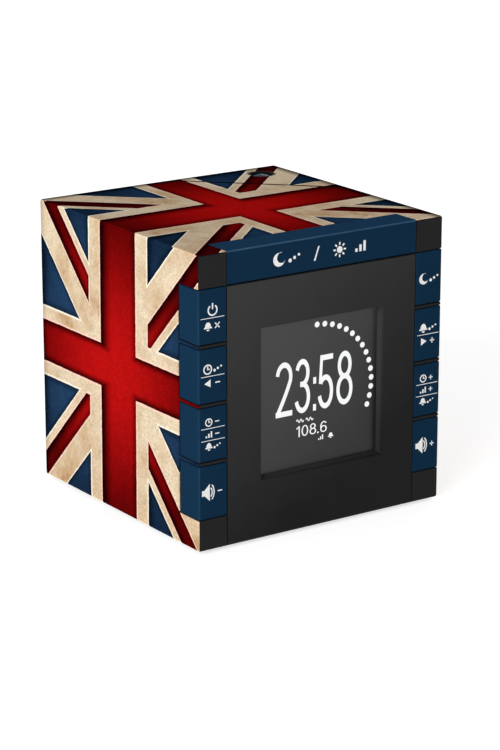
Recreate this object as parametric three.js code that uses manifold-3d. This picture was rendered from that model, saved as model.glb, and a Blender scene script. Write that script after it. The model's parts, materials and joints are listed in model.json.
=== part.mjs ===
// Projection clock radio in a cube-shaped case: printed shell, key columns that wrap the front
// edges, a recessed display, and a corner that turns on the cube's diagonal to aim the projector.
// Millimetres. The origin is under the middle of the case on the table, +Z is up, the front faces -Y.
import * as THREE from "three";
import { mergeVertices } from "three/addons/utils/BufferGeometryUtils.js";
import Module from "manifold-3d";

const wasm = await Module();
wasm.setup();

// Case
const WIDTH = 100;
const DEPTH = 100;
const HEIGHT = 101;
const EDGE_R = 0.8;
const CORNER_EASE = 1.05;
const WALL = 2.2;
const FRONT_WALL = 4.5;
const FIT = 0.3;

// Feet
const FOOT_STAND = 1.2;
const FOOT_R = 5;
const FOOT_INSET = 12;
const FOOT_SOCKET = 0.6;

// Keys and snooze bar
const LEG = 11.1;
const CAP = 2;
const GAP = 0.4;
const TRAVEL = 0.5;
const KEY_ROWS = 4;
const KEY_H = 18.3;
const RIB = 0.85;
const TOP_BLOCK = 11.3;
const HOOK = 1.2;
const POST = 2.4;
const TONGUE_INSET = 13;
const PRESS_GAP = 0.55;

// Front panel and display
const PANEL = 2.2;
const WINDOW_W = 50.4;
const WINDOW_H = 52.6;
const WINDOW_DROP = 28;
const WINDOW_DRAFT = 0.9;
const DISPLAY_DEPTH = 3;
const LCD_RIM = 3;
const LCD_T = 2.2;
const BACKLIGHT_T = 3;
const BOARD_T = 1.6;

// Tact switches
const SWITCH = 5;
const SWITCH_T = 2.1;
const PLUNGER_R = 1.2;
const PLUNGER_T = 1.2;

// Projector corner
const CORNER_LEG = 47;
const CORNER_WALL = 2;
const CORNER_GAP = 0.5;
const DECK = 2.2;
const PIVOT_R = 5.8;
const PIVOT_BORE = 4;
const PIVOT_PLAY = 0.25;
const CLIP_T = 0.8;
const CLIP_R = 8.2;
const WASHER_R = 9.5;
const WASHER_T = 0.2;
const LENS_INSET_X = 12.5;
const LENS_INSET_Y = 9.9;
const LENS_HOLE_R = 5.3;
const BARREL_WALL = 1.1;
const BARREL_SINK = 0.15;
const BARREL_LENGTH = 6.4;
const LENS_T = 2.6;
const LENS_SINK = 0.2;
const LED_R = 2.4;
const LED_LENGTH = 3.6;
const SMALL_LCD_T = 1;

// Back cover, speaker and power socket
const BACK_INSET = 1.2;
const SPEAKER_R = 28;
const BASKET_R = 24.6;
const CONE_R = 23.8;
const CONE_NECK_R = 6.6;
const DUST_CAP_R = 4;
const GRILLE_R = 24;
const SPEAKER_X = -8;
const SPEAKER_Z = 58;
const SPEAKER_DEPTH = 12;
const MAGNET_R = 16;
const MAGNET_T = 9;
const SLOT_W = 2;
const SLOT_PITCH = 4.6;
const SLOTS = 9;
const JACK_INSET = 19.5;
const JACK_W = 9;
const JACK_H = 11;
const JACK_LENGTH = 12;
const SOCKET_R = 3;
const SOCKET_DEPTH = 9;
const PIN_R = 1;
const GROMMET_INSET = 20;
const GROMMET_R = 2.6;
const AERIAL_R = 1;

// Inner boards and parts on them
const MAIN_BOARD_Z = 14;
const MAIN_BOARD_INSET = 10;
const MAIN_BOARD_D = 47;
const MAIN_BOARD_GAP = 2;
const STANDOFF_R = 3;
const ROD_R = 4;
const ROD_LENGTH = 60;
const COIL_T = 1.4;
const COIL_LENGTH = 20;
const SHIELD = [20, 16, 5];
const CAPACITOR_R = 4;
const CAPACITOR_H = 10;
const RIBBON_W = 16;
const RIBBON_T = 0.8;

// Clock backup cell under the base
const CELL_R = 10;
const CELL_T = 3.2;
const WELL_H = 7;
const WELL_ROOF = 1.3;
const CELL_Y = -20;
const CAP_R = 13;
const COIN_SLOT_W = 2;
const COIN_SLOT_L = 18.2;

// Screws
const SCREW_R = 1.2;
const SCREW_HEAD_R = 2.6;
const SCREW_HEAD_T = 1.5;
const SCREW_LENGTH = 7;
const REAR_POST = 7;
const REAR_POST_LENGTH = 17;

// Places worked out from the sizes
const PAST = 1;
const CORNER_R = EDGE_R * CORNER_EASE;
const X1 = WIDTH / 2;
const Y0 = -DEPTH / 2;
const Y1 = DEPTH / 2;
const Z0 = FOOT_STAND;
const Z1 = FOOT_STAND + HEIGHT;
const BLOCK_X = X1 - LEG;
const PANEL_X = BLOCK_X - GAP;
const PRESS_ROOM = TRAVEL + GAP / 2;
const PANEL_TOP = Z1 - TOP_BLOCK + GAP / 4 - PRESS_ROOM;
const WALL_TOP = PANEL_TOP - PRESS_ROOM;
const RECESS_Y = Y0 + PANEL + FIT;
const FRONT_IN = Y0 + FRONT_WALL;
const WINDOW_Z = Z1 - WINDOW_DROP - WINDOW_H / 2;
const LCD_Y = Y0 + DISPLAY_DEPTH;
const LCD_W = WINDOW_W + LCD_RIM;
const LCD_H = WINDOW_H + LCD_RIM;
const BACKLIGHT_Y = LCD_Y + LCD_T + FIT;
const BOARD_Y = BACKLIGHT_Y + BACKLIGHT_T + FIT;
const BOARD_X = X1 - WALL - FIT - HOOK - 2 * GAP;
const KEY_PITCH = KEY_H + 2 * GAP + RIB;
const SWITCH_X = BOARD_X - SWITCH / 2 + FIT;
const SWITCH_FACE = BOARD_Y - SWITCH_T;
const BACK_Y = Y1 - BACK_INSET;
const BACK_IN = BACK_Y - WALL;
const JACK_X = X1 - JACK_INSET;
const GROMMET_X = GROMMET_INSET - X1;
const MAIN_BOARD_W = WIDTH - 2 * MAIN_BOARD_INSET;
const MAIN_TOP = MAIN_BOARD_Z + BOARD_T;
const MAIN_Y1 = BACK_IN - MAIN_BOARD_GAP;
const MAIN_Y0 = MAIN_Y1 - MAIN_BOARD_D;
const BOSS_X = LCD_W / 2 + LCD_RIM + STANDOFF_R;
const CELL_Z = Z0 + WALL + FIT;
const PILOT_R = SCREW_R + FIT;
const CORNER = new THREE.Vector3(X1, Y1, Z1);
const DIAGONAL = new THREE.Vector3(1, 1, 1).normalize();
const CORNER_BASE = CORNER_LEG / Math.sqrt(3);
const DECK_TOP = CORNER_BASE + CORNER_GAP;
const LENS_X = X1 - LENS_INSET_X;
const LENS_Y = Y1 - LENS_INSET_Y;
const UP = new THREE.Vector3(0, 0, 1);
const BACKWARD = new THREE.Vector3(0, 1, 0);
const FORWARD = new THREE.Vector3(0, -1, 0);
const DOWN = new THREE.Vector3(0, 0, -1);
const INWARD = DIAGONAL.clone().negate();

// Solids from three's geometry classes

/** A closed solid from a geometry, with its faces turned outward. */
function solid(geometry) {
  const bare = geometry.index ? geometry.toNonIndexed() : geometry;
  bare.deleteAttribute("normal");
  bare.deleteAttribute("uv");
  const merged = mergeVertices(bare, 1e-4);
  const p = merged.attributes.position.array;
  const triangles = [];
  let volume = 0;
  for (let i = 0; i < merged.index.count; i += 3) {
    const [a, b, c] = [0, 1, 2].map((k) => merged.index.array[i + k]);
    if (a === b || b === c || c === a) continue;
    triangles.push([a, b, c]);
    const [va, vb, vc] = [a, b, c].map((k) => new THREE.Vector3().fromArray(p, 3 * k));
    volume += va.dot(vb.cross(vc));
  }
  const faces = volume < 0 ? triangles.map(([a, b, c]) => [a, c, b]) : triangles;
  const mesh = new wasm.Mesh({
    numProp: 3,
    vertProperties: new Float32Array(p),
    triVerts: new Uint32Array(faces.flat()),
  });
  return new wasm.Manifold(mesh);
}

/** A box between two corners. */
function block(x0, x1, y0, y1, z0, z1) {
  const g = new THREE.BoxGeometry(x1 - x0, y1 - y0, z1 - z0);
  g.translate((x0 + x1) / 2, (y0 + y1) / 2, (z0 + z1) / 2);
  return solid(g);
}

/** A shape with straight sides through a list of [a, b] points. */
function outline(points) {
  return new THREE.Shape(points.map(([a, b]) => new THREE.Vector2(a, b)));
}

/** A shape in x and y, extruded upward from z0 to z1. */
function prismZ(shape, z0, z1) {
  const g = new THREE.ExtrudeGeometry(shape, { depth: z1 - z0, bevelEnabled: false, curveSegments: 4 });
  g.translate(0, 0, z0);
  return solid(g);
}

/** A shape in y and z, extruded along x from x0 to x1. */
function prismX(shape, x0, x1) {
  const g = new THREE.ExtrudeGeometry(shape, { depth: x1 - x0, bevelEnabled: false, curveSegments: 4 });
  const [y, z, x] = [BACKWARD, UP, new THREE.Vector3(1, 0, 0)];
  g.applyMatrix4(new THREE.Matrix4().makeBasis(y, z, x));
  g.translate(x0, 0, 0);
  return solid(g);
}

/** A profile of [radius, height] points turned about an axis through a point. */
function turned(profile, origin, direction, segments) {
  const points = profile.map(([r, h]) => new THREE.Vector2(r, h));
  const g = new THREE.LatheGeometry(points, segments);
  g.applyQuaternion(new THREE.Quaternion().setFromUnitVectors(BACKWARD, direction));
  g.translate(origin.x, origin.y, origin.z);
  return solid(g);
}

/** A cylinder from height h0 to h1 along an axis through a point. */
function rod(r, h0, h1, origin, direction, segments = 20) {
  return turned([[0, h0], [r, h0], [r, h1], [0, h1]], origin, direction, segments);
}

/** A ring from height h0 to h1 along an axis through a point. */
function ring(inner, outer, h0, h1, origin, direction, segments = 28) {
  const profile = [[inner, h0], [outer, h0], [outer, h1], [inner, h1], [inner, h0]];
  return turned(profile, origin, direction, segments);
}

/** The slab between two planes square to the diagonal, at depths from the cube's corner. */
function slab(near, far) {
  return rod(WIDTH + DEPTH, near, far, CORNER, INWARD, 6);
}

/** A four-sided taper along y: width and height at y0, and a shrink on every side at y1. */
function taper(width, height, shrink, y0, y1, centreZ) {
  const half = Math.SQRT1_2;
  const scale = (width - 2 * shrink) / width;
  const g = new THREE.CylinderGeometry(scale * half, half, y1 - y0, 4);
  g.rotateY(Math.PI / 4);
  g.scale(width, 1, height);
  g.translate(0, (y0 + y1) / 2, centreZ);
  return solid(g);
}

/** The cube with rounded edges that the case, the panel, the keys and the corner are cut from.
 *  Its corners are a little rounder than its edges, so that none of them closes to a point. */
function roundedCube() {
  const [w, h, r] = [WIDTH / 2, HEIGHT / 2, CORNER_R];
  const face = new THREE.Shape();
  face.absarc(w - r, h - r, r, 0, Math.PI / 2);
  face.absarc(r - w, h - r, r, Math.PI / 2, Math.PI);
  face.absarc(r - w, r - h, r, Math.PI, 1.5 * Math.PI);
  face.absarc(w - r, r - h, r, 1.5 * Math.PI, 2 * Math.PI);
  const g = new THREE.ExtrudeGeometry(face, {
    depth: DEPTH - 2 * EDGE_R,
    bevelThickness: EDGE_R,
    bevelSize: EDGE_R,
    bevelOffset: -EDGE_R,
    bevelSegments: 2,
    curveSegments: 2,
  });
  g.translate(0, 0, EDGE_R - DEPTH / 2);
  g.rotateX(Math.PI / 2);
  g.translate(0, 0, Z0 + HEIGHT / 2);
  return solid(g);
}

const CUBE = roundedCube();
const at = (x, y, z) => new THREE.Vector3(x, y, z);

// Places that repeat
const SIDES = [
  ["left", -1],
  ["right", 1],
];
const FEET = [
  ["front_left", -X1 + FOOT_INSET, Y0 + FOOT_INSET],
  ["front_right", X1 - FOOT_INSET, Y0 + FOOT_INSET],
  ["back_left", -X1 + FOOT_INSET, Y1 - FOOT_INSET],
  ["back_right", X1 - FOOT_INSET, Y1 - FOOT_INSET],
];
const POST_X = X1 - WALL - REAR_POST / 2;
const REAR_SCREWS = [
  at(-POST_X, 0, Z0 + WALL + REAR_POST / 2),
  at(POST_X, 0, Z0 + WALL + REAR_POST / 2),
  at(-POST_X, 0, Z1 - WALL - REAR_POST / 2),
  at(POST_X, 0, Z1 - (DECK_TOP + DECK) * Math.sqrt(3) - REAR_POST / 2),
];
const BOARD_BOSSES = [Z1 - LEG - 3 * STANDOFF_R, Z0 + LEG].flatMap((z) => [
  at(-BOSS_X, 0, z),
  at(BOSS_X, 0, z),
]);
const SCREWED_BOSSES = BOARD_BOSSES.slice(0, 2);
const STANDOFF_X = MAIN_BOARD_W / 2 - 2 * STANDOFF_R;
const STANDOFFS = [MAIN_Y0 + 2 * STANDOFF_R, MAIN_Y1 - 2 * STANDOFF_R].flatMap((y) => [
  at(-STANDOFF_X, y, 0),
  at(STANDOFF_X, y, 0),
]);
const SCREWED_STANDOFFS = STANDOFFS.slice(0, 2);
const SPEAKER_REACH = (SPEAKER_R + STANDOFF_R + FIT) / Math.SQRT2;
const SPEAKER_SCREWS = [
  at(SPEAKER_X - SPEAKER_REACH, 0, SPEAKER_Z + SPEAKER_REACH),
  at(SPEAKER_X + SPEAKER_REACH, 0, SPEAKER_Z - SPEAKER_REACH),
];
const TONGUE_X = PANEL_X - TONGUE_INSET;
const keyTop = (row) => Z1 - TOP_BLOCK - GAP - row * KEY_PITCH;

// Case

/** Inner posts and bosses of the case, before their screw holes. */
function caseBosses() {
  const parts = [];
  for (const p of BOARD_BOSSES) parts.push(rod(STANDOFF_R, FRONT_IN - PAST, BOARD_Y - FIT, p, BACKWARD, 16));
  for (const p of STANDOFFS) parts.push(rod(STANDOFF_R, Z0 + PAST, MAIN_BOARD_Z - FIT, p, UP, 16));
  for (const p of REAR_SCREWS) {
    const [h, long] = [REAR_POST / 2, REAR_POST_LENGTH];
    const wallSide = Math.sign(p.x) * (h + PAST);
    const [xa, xb] = [p.x - Math.sign(p.x) * h, p.x + wallSide].sort((a, b) => a - b);
    parts.push(block(xa, xb, BACK_IN - FIT - long, BACK_IN - FIT, p.z - h, p.z + h));
  }
  const under = at(0, CELL_Y, Z0);
  parts.push(rod(CAP_R + 2 * WALL, WALL / 2, 2 * WALL, under, UP, 28));
  parts.push(rod(CELL_R + WALL, WALL, WALL + WELL_H + WELL_ROOF, under, UP, 28));
  return wasm.Manifold.union(parts);
}

/** Screw holes, the cell's well and the sockets of the feet. */
function caseBores() {
  const bores = [];
  for (const p of SCREWED_BOSSES) bores.push(rod(PILOT_R, FRONT_IN + GAP, BOARD_Y, p, BACKWARD, 12));
  for (const p of SCREWED_STANDOFFS) bores.push(rod(PILOT_R, Z0 + WALL + GAP, MAIN_BOARD_Z, p, UP, 12));
  const screwEnd = BACK_IN - SCREW_LENGTH - PAST;
  for (const p of REAR_SCREWS) bores.push(rod(PILOT_R, screwEnd, BACK_IN, p, BACKWARD, 12));
  const under = at(0, CELL_Y, Z0);
  bores.push(rod(CAP_R + FIT, -PAST, WALL + FIT / 2, under, UP, 28));
  bores.push(rod(CELL_R + GAP, WALL, WALL + WELL_H, under, UP, 28));
  for (const [, x, y] of FEET) bores.push(rod(FOOT_R + FIT, -PAST, FOOT_SOCKET, at(x, y, Z0), UP));
  return wasm.Manifold.union(bores);
}

/** Openings in the front and its edges: keys, snooze bar, panel recess and display. */
function caseWindows() {
  const cuts = [
    block(-BLOCK_X, BLOCK_X, Y0 - PAST, RECESS_Y, Z0 - PAST, Z1 - TOP_BLOCK),
    block(-BLOCK_X, BLOCK_X, Y0 - PAST, FRONT_IN + PAST, WALL_TOP, Z1 + PAST),
    block(-BLOCK_X, BLOCK_X, Y0 - PAST, Y0 + LEG + GAP, Z1 - WALL - PAST, Z1 + PAST),
    block(
      -LCD_W / 2 - GAP, LCD_W / 2 + GAP, Y0, FRONT_IN + FIT,
      WINDOW_Z - LCD_H / 2 - GAP, WINDOW_Z + LCD_H / 2 + GAP,
    ),
  ];
  for (const [, side] of SIDES) {
    for (let row = 0; row < KEY_ROWS; row++) {
      const [z0, z1] = [keyTop(row) - KEY_H - GAP, keyTop(row) + GAP];
      const [fa, fb] = [side * PANEL_X, side * (X1 + PAST)].sort((a, b) => a - b);
      cuts.push(block(fa, fb, Y0 - PAST, FRONT_IN + PAST, z0, z1));
      const [sa, sb] = [side * (X1 - WALL - PAST), side * (X1 + PAST)].sort((a, b) => a - b);
      cuts.push(block(sa, sb, Y0 - PAST, Y0 + LEG + PRESS_ROOM, z0, z1));
    }
  }
  return wasm.Manifold.union(cuts);
}

/** The five-walled case, open at the back, with one corner cut off square to its diagonal. */
function caseShell() {
  const cavity = block(WALL - X1, X1 - WALL, FRONT_IN, Y1 + PAST, Z0 + WALL, Z1 - WALL);
  return CUBE.subtract(cavity)
    .add(caseBosses())
    .subtract(caseBores())
    .subtract(caseWindows())
    .subtract(slab(-DEPTH, DECK_TOP));
}

/** The middle of the front: a plate with a window whose sides slope to the display. */
function frontPanel() {
  const collar = LCD_Y - FIT;
  const rim = WINDOW_DRAFT;
  const [hw, hh] = [WINDOW_W / 2 + rim, WINDOW_H / 2 + rim];
  const spread = (2 * PAST * WINDOW_DRAFT) / (collar - Y0);
  const [w, h, shrink] = [WINDOW_W + spread, WINDOW_H + spread, WINDOW_DRAFT + spread];
  return block(-PANEL_X, PANEL_X, Y0 - PAST, Y0 + PANEL, Z0 - PAST, PANEL_TOP)
    .add(block(-hw, hw, Y0 + rim, collar, WINDOW_Z - hh, WINDOW_Z + hh))
    .intersect(CUBE)
    .subtract(taper(w, h, shrink, Y0 - PAST, collar + PAST, WINDOW_Z));
}

/** The back cover with its speaker slots, and the slanted deck that carries the corner. */
function rearCover() {
  const [x, z0, z1] = [X1 - WALL - FIT, Z0 + WALL + FIT, Z1 - WALL - FIT];
  const room = block(-x, x, 0, BACK_Y, z0, z1);
  const plate = block(-x, x, BACK_IN, BACK_Y, z0, z1).subtract(slab(-DEPTH, DECK_TOP));
  const deck = room.intersect(slab(DECK_TOP, DECK_TOP + DECK));
  const bossEnd = BACK_IN - 2 * CAP;
  const bosses = SPEAKER_SCREWS.map((p) => rod(STANDOFF_R, bossEnd, BACK_IN + PAST, p, BACKWARD, 16));
  const cuts = [
    rod(PIVOT_R + PIVOT_PLAY, DECK_TOP - PAST, DECK_TOP + DECK + PAST, CORNER, INWARD, 28),
    rod(SOCKET_R + WALL / 2, BACK_IN - PAST, BACK_Y + PAST, at(JACK_X, 0, jackZ()), BACKWARD),
    rod(GROMMET_R + FIT / 2, BACK_IN - PAST, BACK_Y + PAST, at(GROMMET_X, 0, jackZ()), BACKWARD),
  ];
  for (const p of REAR_SCREWS) {
    cuts.push(rod(PILOT_R, BACK_IN - PAST, BACK_Y + PAST, p, BACKWARD, 12));
    cuts.push(rod(SCREW_HEAD_R + FIT, BACK_Y - PAST, BACK_Y + PAST, p, BACKWARD, 16));
  }
  for (const p of SPEAKER_SCREWS) cuts.push(rod(PILOT_R, BACK_IN - 3 * CAP, BACK_IN, p, BACKWARD, 12));
  for (let i = 0; i < SLOTS; i++) cuts.push(grilleSlot(i));
  return wasm.Manifold.union([plate, deck, ...bosses]).subtract(wasm.Manifold.union(cuts));
}

/** One upright slot of the speaker grille, as long as the speaker's circle allows. */
function grilleSlot(index) {
  const r = SLOT_W / 2;
  const offset = (index - (SLOTS - 1) / 2) * SLOT_PITCH;
  const half = Math.sqrt(GRILLE_R ** 2 - offset ** 2) - r;
  const shape = new THREE.Shape();
  shape.absarc(0, half, r, 0, Math.PI);
  shape.absarc(0, -half, r, Math.PI, 2 * Math.PI);
  const through = WALL + 2 * PAST;
  const g = new THREE.ExtrudeGeometry(shape, { depth: through, bevelEnabled: false, curveSegments: 4 });
  g.rotateX(Math.PI / 2);
  g.translate(SPEAKER_X + offset, BACK_Y + PAST, SPEAKER_Z);
  return solid(g);
}

function foot(x, y) {
  const [r, h] = [FOOT_R, FOOT_STAND + FOOT_SOCKET];
  const chamfer = FOOT_STAND / 3;
  return turned([[0, 0], [r - chamfer, 0], [r, chamfer], [r, h], [0, h]], at(x, y, 0), UP, 24);
}

// Keys

/** Outline of an edge key seen from above: two legs, and a hook behind the wall at each end. */
function keyOutline(side) {
  const x = (inset) => side * (X1 - inset);
  const y = (inset) => Y0 + inset;
  const hookY = FRONT_WALL + FIT;
  const hookX = WALL + FIT;
  const end = LEG + PRESS_ROOM + HOOK;
  const points = [
    [x(0), y(LEG)], [x(0), y(0)], [x(LEG), y(0)], [x(LEG), y(hookY)],
    [x(LEG + GAP + HOOK), y(hookY)], [x(LEG + GAP + HOOK), y(hookY + HOOK)], [x(LEG - CAP), y(hookY + HOOK)],
    [x(LEG - CAP), y(CAP)], [x(CAP), y(CAP)], [x(CAP), y(LEG - CAP)],
    [x(hookX + HOOK), y(LEG - CAP)], [x(hookX + HOOK), y(end)], [x(hookX), y(end)], [x(hookX), y(LEG)],
  ];
  return outline(points);
}

/** One key: the cap round the edge, its hooks, and the post that reaches its switch. */
function key(side, row) {
  const [z0, z1] = [keyTop(row) - KEY_H, keyTop(row)];
  const mid = (z0 + z1) / 2;
  const x = side * SWITCH_X;
  const tip = SWITCH_FACE - PLUNGER_T - PRESS_GAP;
  return prismZ(keyOutline(side), z0, z1)
    .intersect(CUBE)
    .add(block(x - POST / 2, x + POST / 2, Y0 + CAP / 2, tip, mid - POST / 2, mid + POST / 2));
}

/** A tact switch with its plunger towards the key. */
function tactSwitch(place) {
  const h = SWITCH / 2;
  const body = block(place.x - h, place.x + h, SWITCH_FACE, BOARD_Y - FIT / 3, place.z - h, place.z + h);
  return body.add(rod(PLUNGER_R, -PAST, PLUNGER_T, at(place.x, SWITCH_FACE, place.z), FORWARD, 16));
}

const SNOOZE_SWITCH_Y = (FRONT_IN + BOARD_Y) / 2;
const SNOOZE_SWITCH_Z = Z1 - TOP_BLOCK + CAP;

/** The switch that lies on its side under the snooze bar, with its plunger upward. */
function snoozeSwitch() {
  const h = SWITCH / 2;
  const body = block(-h, h, FRONT_IN + GAP, BOARD_Y - FIT / 3, SNOOZE_SWITCH_Z, SNOOZE_SWITCH_Z + CAP + PAST);
  const top = SNOOZE_SWITCH_Z + CAP + PAST;
  return body.add(rod(PLUNGER_R, -PAST, PLUNGER_T, at(0, SNOOZE_SWITCH_Y, top), UP, 16));
}

/** The bar along the top front edge, with its hook, its post and two guide tongues. */
function snoozeBar() {
  const y = (inset) => Y0 + inset;
  const z = (drop) => Z1 - drop;
  const lip = WALL + FIT;
  const section = outline([
    [y(0), z(0)], [y(LEG), z(0)], [y(LEG), z(lip)], [y(LEG + GAP + HOOK), z(lip)],
    [y(LEG + GAP + HOOK), z(lip + HOOK)], [y(LEG - CAP), z(lip + HOOK)], [y(LEG - CAP), z(CAP)],
    [y(CAP), z(CAP)], [y(CAP), z(TOP_BLOCK - GAP / 4)], [y(0), z(TOP_BLOCK - GAP / 4)],
  ]);
  const tip = SNOOZE_SWITCH_Z + CAP + PAST + PLUNGER_T + PRESS_GAP;
  const bar = [prismX(section, -PANEL_X, PANEL_X).intersect(CUBE)];
  const p = POST / 2;
  bar.push(block(-p, p, SNOOZE_SWITCH_Y - p, SNOOZE_SWITCH_Y + p, tip, z(CAP / 2)));
  const behind = FRONT_IN + GAP;
  for (const [, side] of SIDES) {
    const [xa, xb] = [side * TONGUE_X - POST, side * TONGUE_X + POST];
    bar.push(block(xa, xb, y(CAP / 2), behind + HOOK, z(TOP_BLOCK - CAP / 2), z(TOP_BLOCK - CAP)));
    bar.push(block(xa, xb, behind, behind + HOOK, WALL_TOP - 2 * CAP, z(TOP_BLOCK - CAP)));
  }
  return wasm.Manifold.union(bar);
}

// Display and boards

function lcdGlass() {
  return block(-LCD_W / 2, LCD_W / 2, LCD_Y, LCD_Y + LCD_T, WINDOW_Z - LCD_H / 2, WINDOW_Z + LCD_H / 2);
}

/** The light guide behind the glass, with the notch for its lamps. */
function lcdBacklight() {
  const [w, h] = [LCD_W / 2, LCD_H / 2];
  const notch = block(-w / 2, w / 2, BACKLIGHT_Y + GAP, BOARD_Y, WINDOW_Z - h - PAST, WINDOW_Z - h + LCD_RIM);
  return block(-w, w, BACKLIGHT_Y, BACKLIGHT_Y + BACKLIGHT_T, WINDOW_Z - h, WINDOW_Z + h).subtract(notch);
}

function frontBoard() {
  const top = Z1 - WALL - FIT - HOOK - PRESS_ROOM - GAP;
  const back = BOARD_Y + BOARD_T;
  const holes = SCREWED_BOSSES.map((p) => rod(PILOT_R, BOARD_Y - PAST, back + PAST, p, BACKWARD, 12));
  return block(-BOARD_X, BOARD_X, BOARD_Y, back, Z0 + 2 * WALL, top).subtract(wasm.Manifold.union(holes));
}

function mainBoard() {
  const holes = SCREWED_STANDOFFS.map((p) => rod(PILOT_R, MAIN_BOARD_Z - PAST, MAIN_TOP + PAST, p, UP, 12));
  const half = MAIN_BOARD_W / 2;
  const board = block(-half, half, MAIN_Y0, MAIN_Y1, MAIN_BOARD_Z, MAIN_TOP);
  return board.subtract(wasm.Manifold.union(holes));
}

/** A box or a can that stands on the main board. */
function tunerShield() {
  const [w, d, h] = SHIELD;
  const x = -MAIN_BOARD_W / 2 + SCREW_LENGTH;
  const y = MAIN_Y1 - SCREW_LENGTH;
  const lid = block(x + PAST, x + w - PAST, y - d + PAST, y - PAST, MAIN_TOP + h - PAST, MAIN_TOP + h + GAP);
  return block(x, x + w, y - d, y, MAIN_TOP + FIT, MAIN_TOP + h).add(lid);
}

function smoothingCapacitor() {
  const [r, h, c] = [CAPACITOR_R, CAPACITOR_H, GAP];
  const groove = [[r, 2 * c], [r - c, 3 * c], [r - c, 4 * c], [r, 5 * c]];
  const profile = [[0, 0], [r - c, 0], [r, c], ...groove, [r, h - c], [r - c, h], [0, h]];
  return turned(profile, at(MAIN_BOARD_W / 10, MAIN_Y1 - 3 * r, MAIN_TOP + FIT), UP, 20);
}

const ROD_Z = MAIN_TOP + FIT + ROD_R + GAP + COIL_T;
const ROD_Y = MAIN_Y0 + 4 * ROD_R;

function ferriteRod() {
  return rod(ROD_R, -ROD_LENGTH / 2, ROD_LENGTH / 2, at(0, ROD_Y, ROD_Z), new THREE.Vector3(1, 0, 0));
}

function aerialCoil() {
  const [inner, outer, h] = [ROD_R + GAP, ROD_R + GAP + COIL_T, COIL_LENGTH / 2];
  return ring(inner, outer, -h, h, at(0, ROD_Y, ROD_Z), new THREE.Vector3(1, 0, 0));
}

/** The flat cable from the front board down to the main board. */
function ribbonCable() {
  const start = BOARD_Y + BOARD_T + FIT + RIBBON_T / 2;
  const foot = MAIN_TOP + FIT + RIBBON_T / 2;
  const hang = foot + LEG;
  const path = new THREE.CatmullRomCurve3([
    at(start, hang + LEG, 0),
    at(start, hang, 0),
    at(start + LEG / 2, foot + LEG / 2, 0),
    at(start + 2 * LEG, foot + RIBBON_T, 0),
    at(MAIN_Y0 + PAST, foot, 0),
    at(MAIN_Y0 + LEG / 2, foot, 0),
  ], false, "catmullrom", 0.3);
  const steps = 14;
  const edge = (side) => path.getSpacedPoints(steps).map((p, i) => {
    const t = path.getTangentAt(i / steps);
    return [p.x - (side * t.y * RIBBON_T) / 2, p.y + (side * t.x * RIBBON_T) / 2];
  });
  const band = outline([...edge(1), ...edge(-1).reverse()]);
  return prismX(band, STANDOFF_X - 2 * RIBBON_W, STANDOFF_X - RIBBON_W);
}

function jackZ() {
  return MAIN_TOP + FIT + JACK_H / 2;
}

/** The power socket on the main board's back edge: a round well with a pin in its middle. */
function powerSocket() {
  const [w, h, z] = [JACK_W / 2, JACK_H / 2, jackZ()];
  const face = BACK_IN - FIT;
  const well = rod(SOCKET_R, face - SOCKET_DEPTH, face + PAST, at(JACK_X, 0, z), BACKWARD);
  const pin = rod(PIN_R, face - SOCKET_DEPTH - PAST, face - PAST, at(JACK_X, 0, z), BACKWARD, 12);
  return block(JACK_X - w, JACK_X + w, face - JACK_LENGTH, face, z - h, z + h).subtract(well).add(pin);
}

/** The soft ring in the back cover that the wire aerial leaves through. */
function aerialGrommet() {
  const [r, b] = [GROMMET_R, AERIAL_R];
  const [inside, outside] = [BACK_IN - FIT, BACK_Y + FIT];
  const [rim, lip] = [r + PAST, BACK_INSET / 2];
  const profile = [
    [b, inside - lip], [rim, inside - lip], [rim, inside], [r, inside],
    [r, outside], [rim, outside], [rim, outside + lip], [b, outside + lip], [b, inside - lip],
  ];
  return turned(profile, at(GROMMET_X, 0, jackZ()), BACKWARD, 20);
}

// Speaker: heights run from the back cover inward

function speakerFrame() {
  const [r, b, n, d] = [SPEAKER_R, BASKET_R, MAGNET_R, SPEAKER_DEPTH];
  const flange = FIT + CAP;
  const profile = [
    [b, FIT], [r, FIT], [r, flange], [b + PAST, flange], [n, d], [n / 2, d],
    [n / 2, d - PAST], [n - PAST, d - PAST], [b, flange - GAP], [b, FIT],
  ];
  return turned(profile, at(SPEAKER_X, BACK_IN, SPEAKER_Z), FORWARD, 24);
}

/** The paper cone with its dust cap. */
function speakerCone() {
  const [rim, neck, t] = [CONE_R, CONE_NECK_R, 2 * FIT];
  const crown = DUST_CAP_R;
  const [edge, deep, dome] = [CAP / 2, SPEAKER_DEPTH / 2, SPEAKER_DEPTH / 3];
  const profile = [
    [0, dome], [crown, dome + t], [neck, deep], [rim, edge], [rim, edge + t], [neck, deep + t],
    [crown, dome + 2 * t], [0, dome + t],
  ];
  return turned(profile, at(SPEAKER_X, BACK_IN, SPEAKER_Z), FORWARD, 24);
}

function speakerMagnet() {
  const [r, h0, h1] = [MAGNET_R, SPEAKER_DEPTH + FIT, SPEAKER_DEPTH + FIT + MAGNET_T];
  const profile = [[0, h0], [r, h0], [r, h1 - CAP], [r - CAP, h1 - CAP], [r - CAP, h1], [0, h1]];
  return turned(profile, at(SPEAKER_X, BACK_IN, SPEAKER_Z), FORWARD, 24);
}

// Backup cell

/** The round cover under the base, turned with a coin. */
function batteryCap() {
  const [long, half] = [COIN_SLOT_L / 2, COIN_SLOT_W / 2];
  const slot = block(-long, long, CELL_Y - half, CELL_Y + half, Z0 - PAST, Z0 + WALL / 2);
  return rod(CAP_R, 0, WALL - FIT, at(0, CELL_Y, Z0), UP, 28).subtract(slot);
}

function coinCell() {
  const [r, h, e] = [CELL_R, CELL_T, GAP];
  return turned([[0, 0], [r - 2 * e, 0], [r, 2 * e], [r, h], [0, h]], at(0, CELL_Y, CELL_Z), UP, 28);
}

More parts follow.
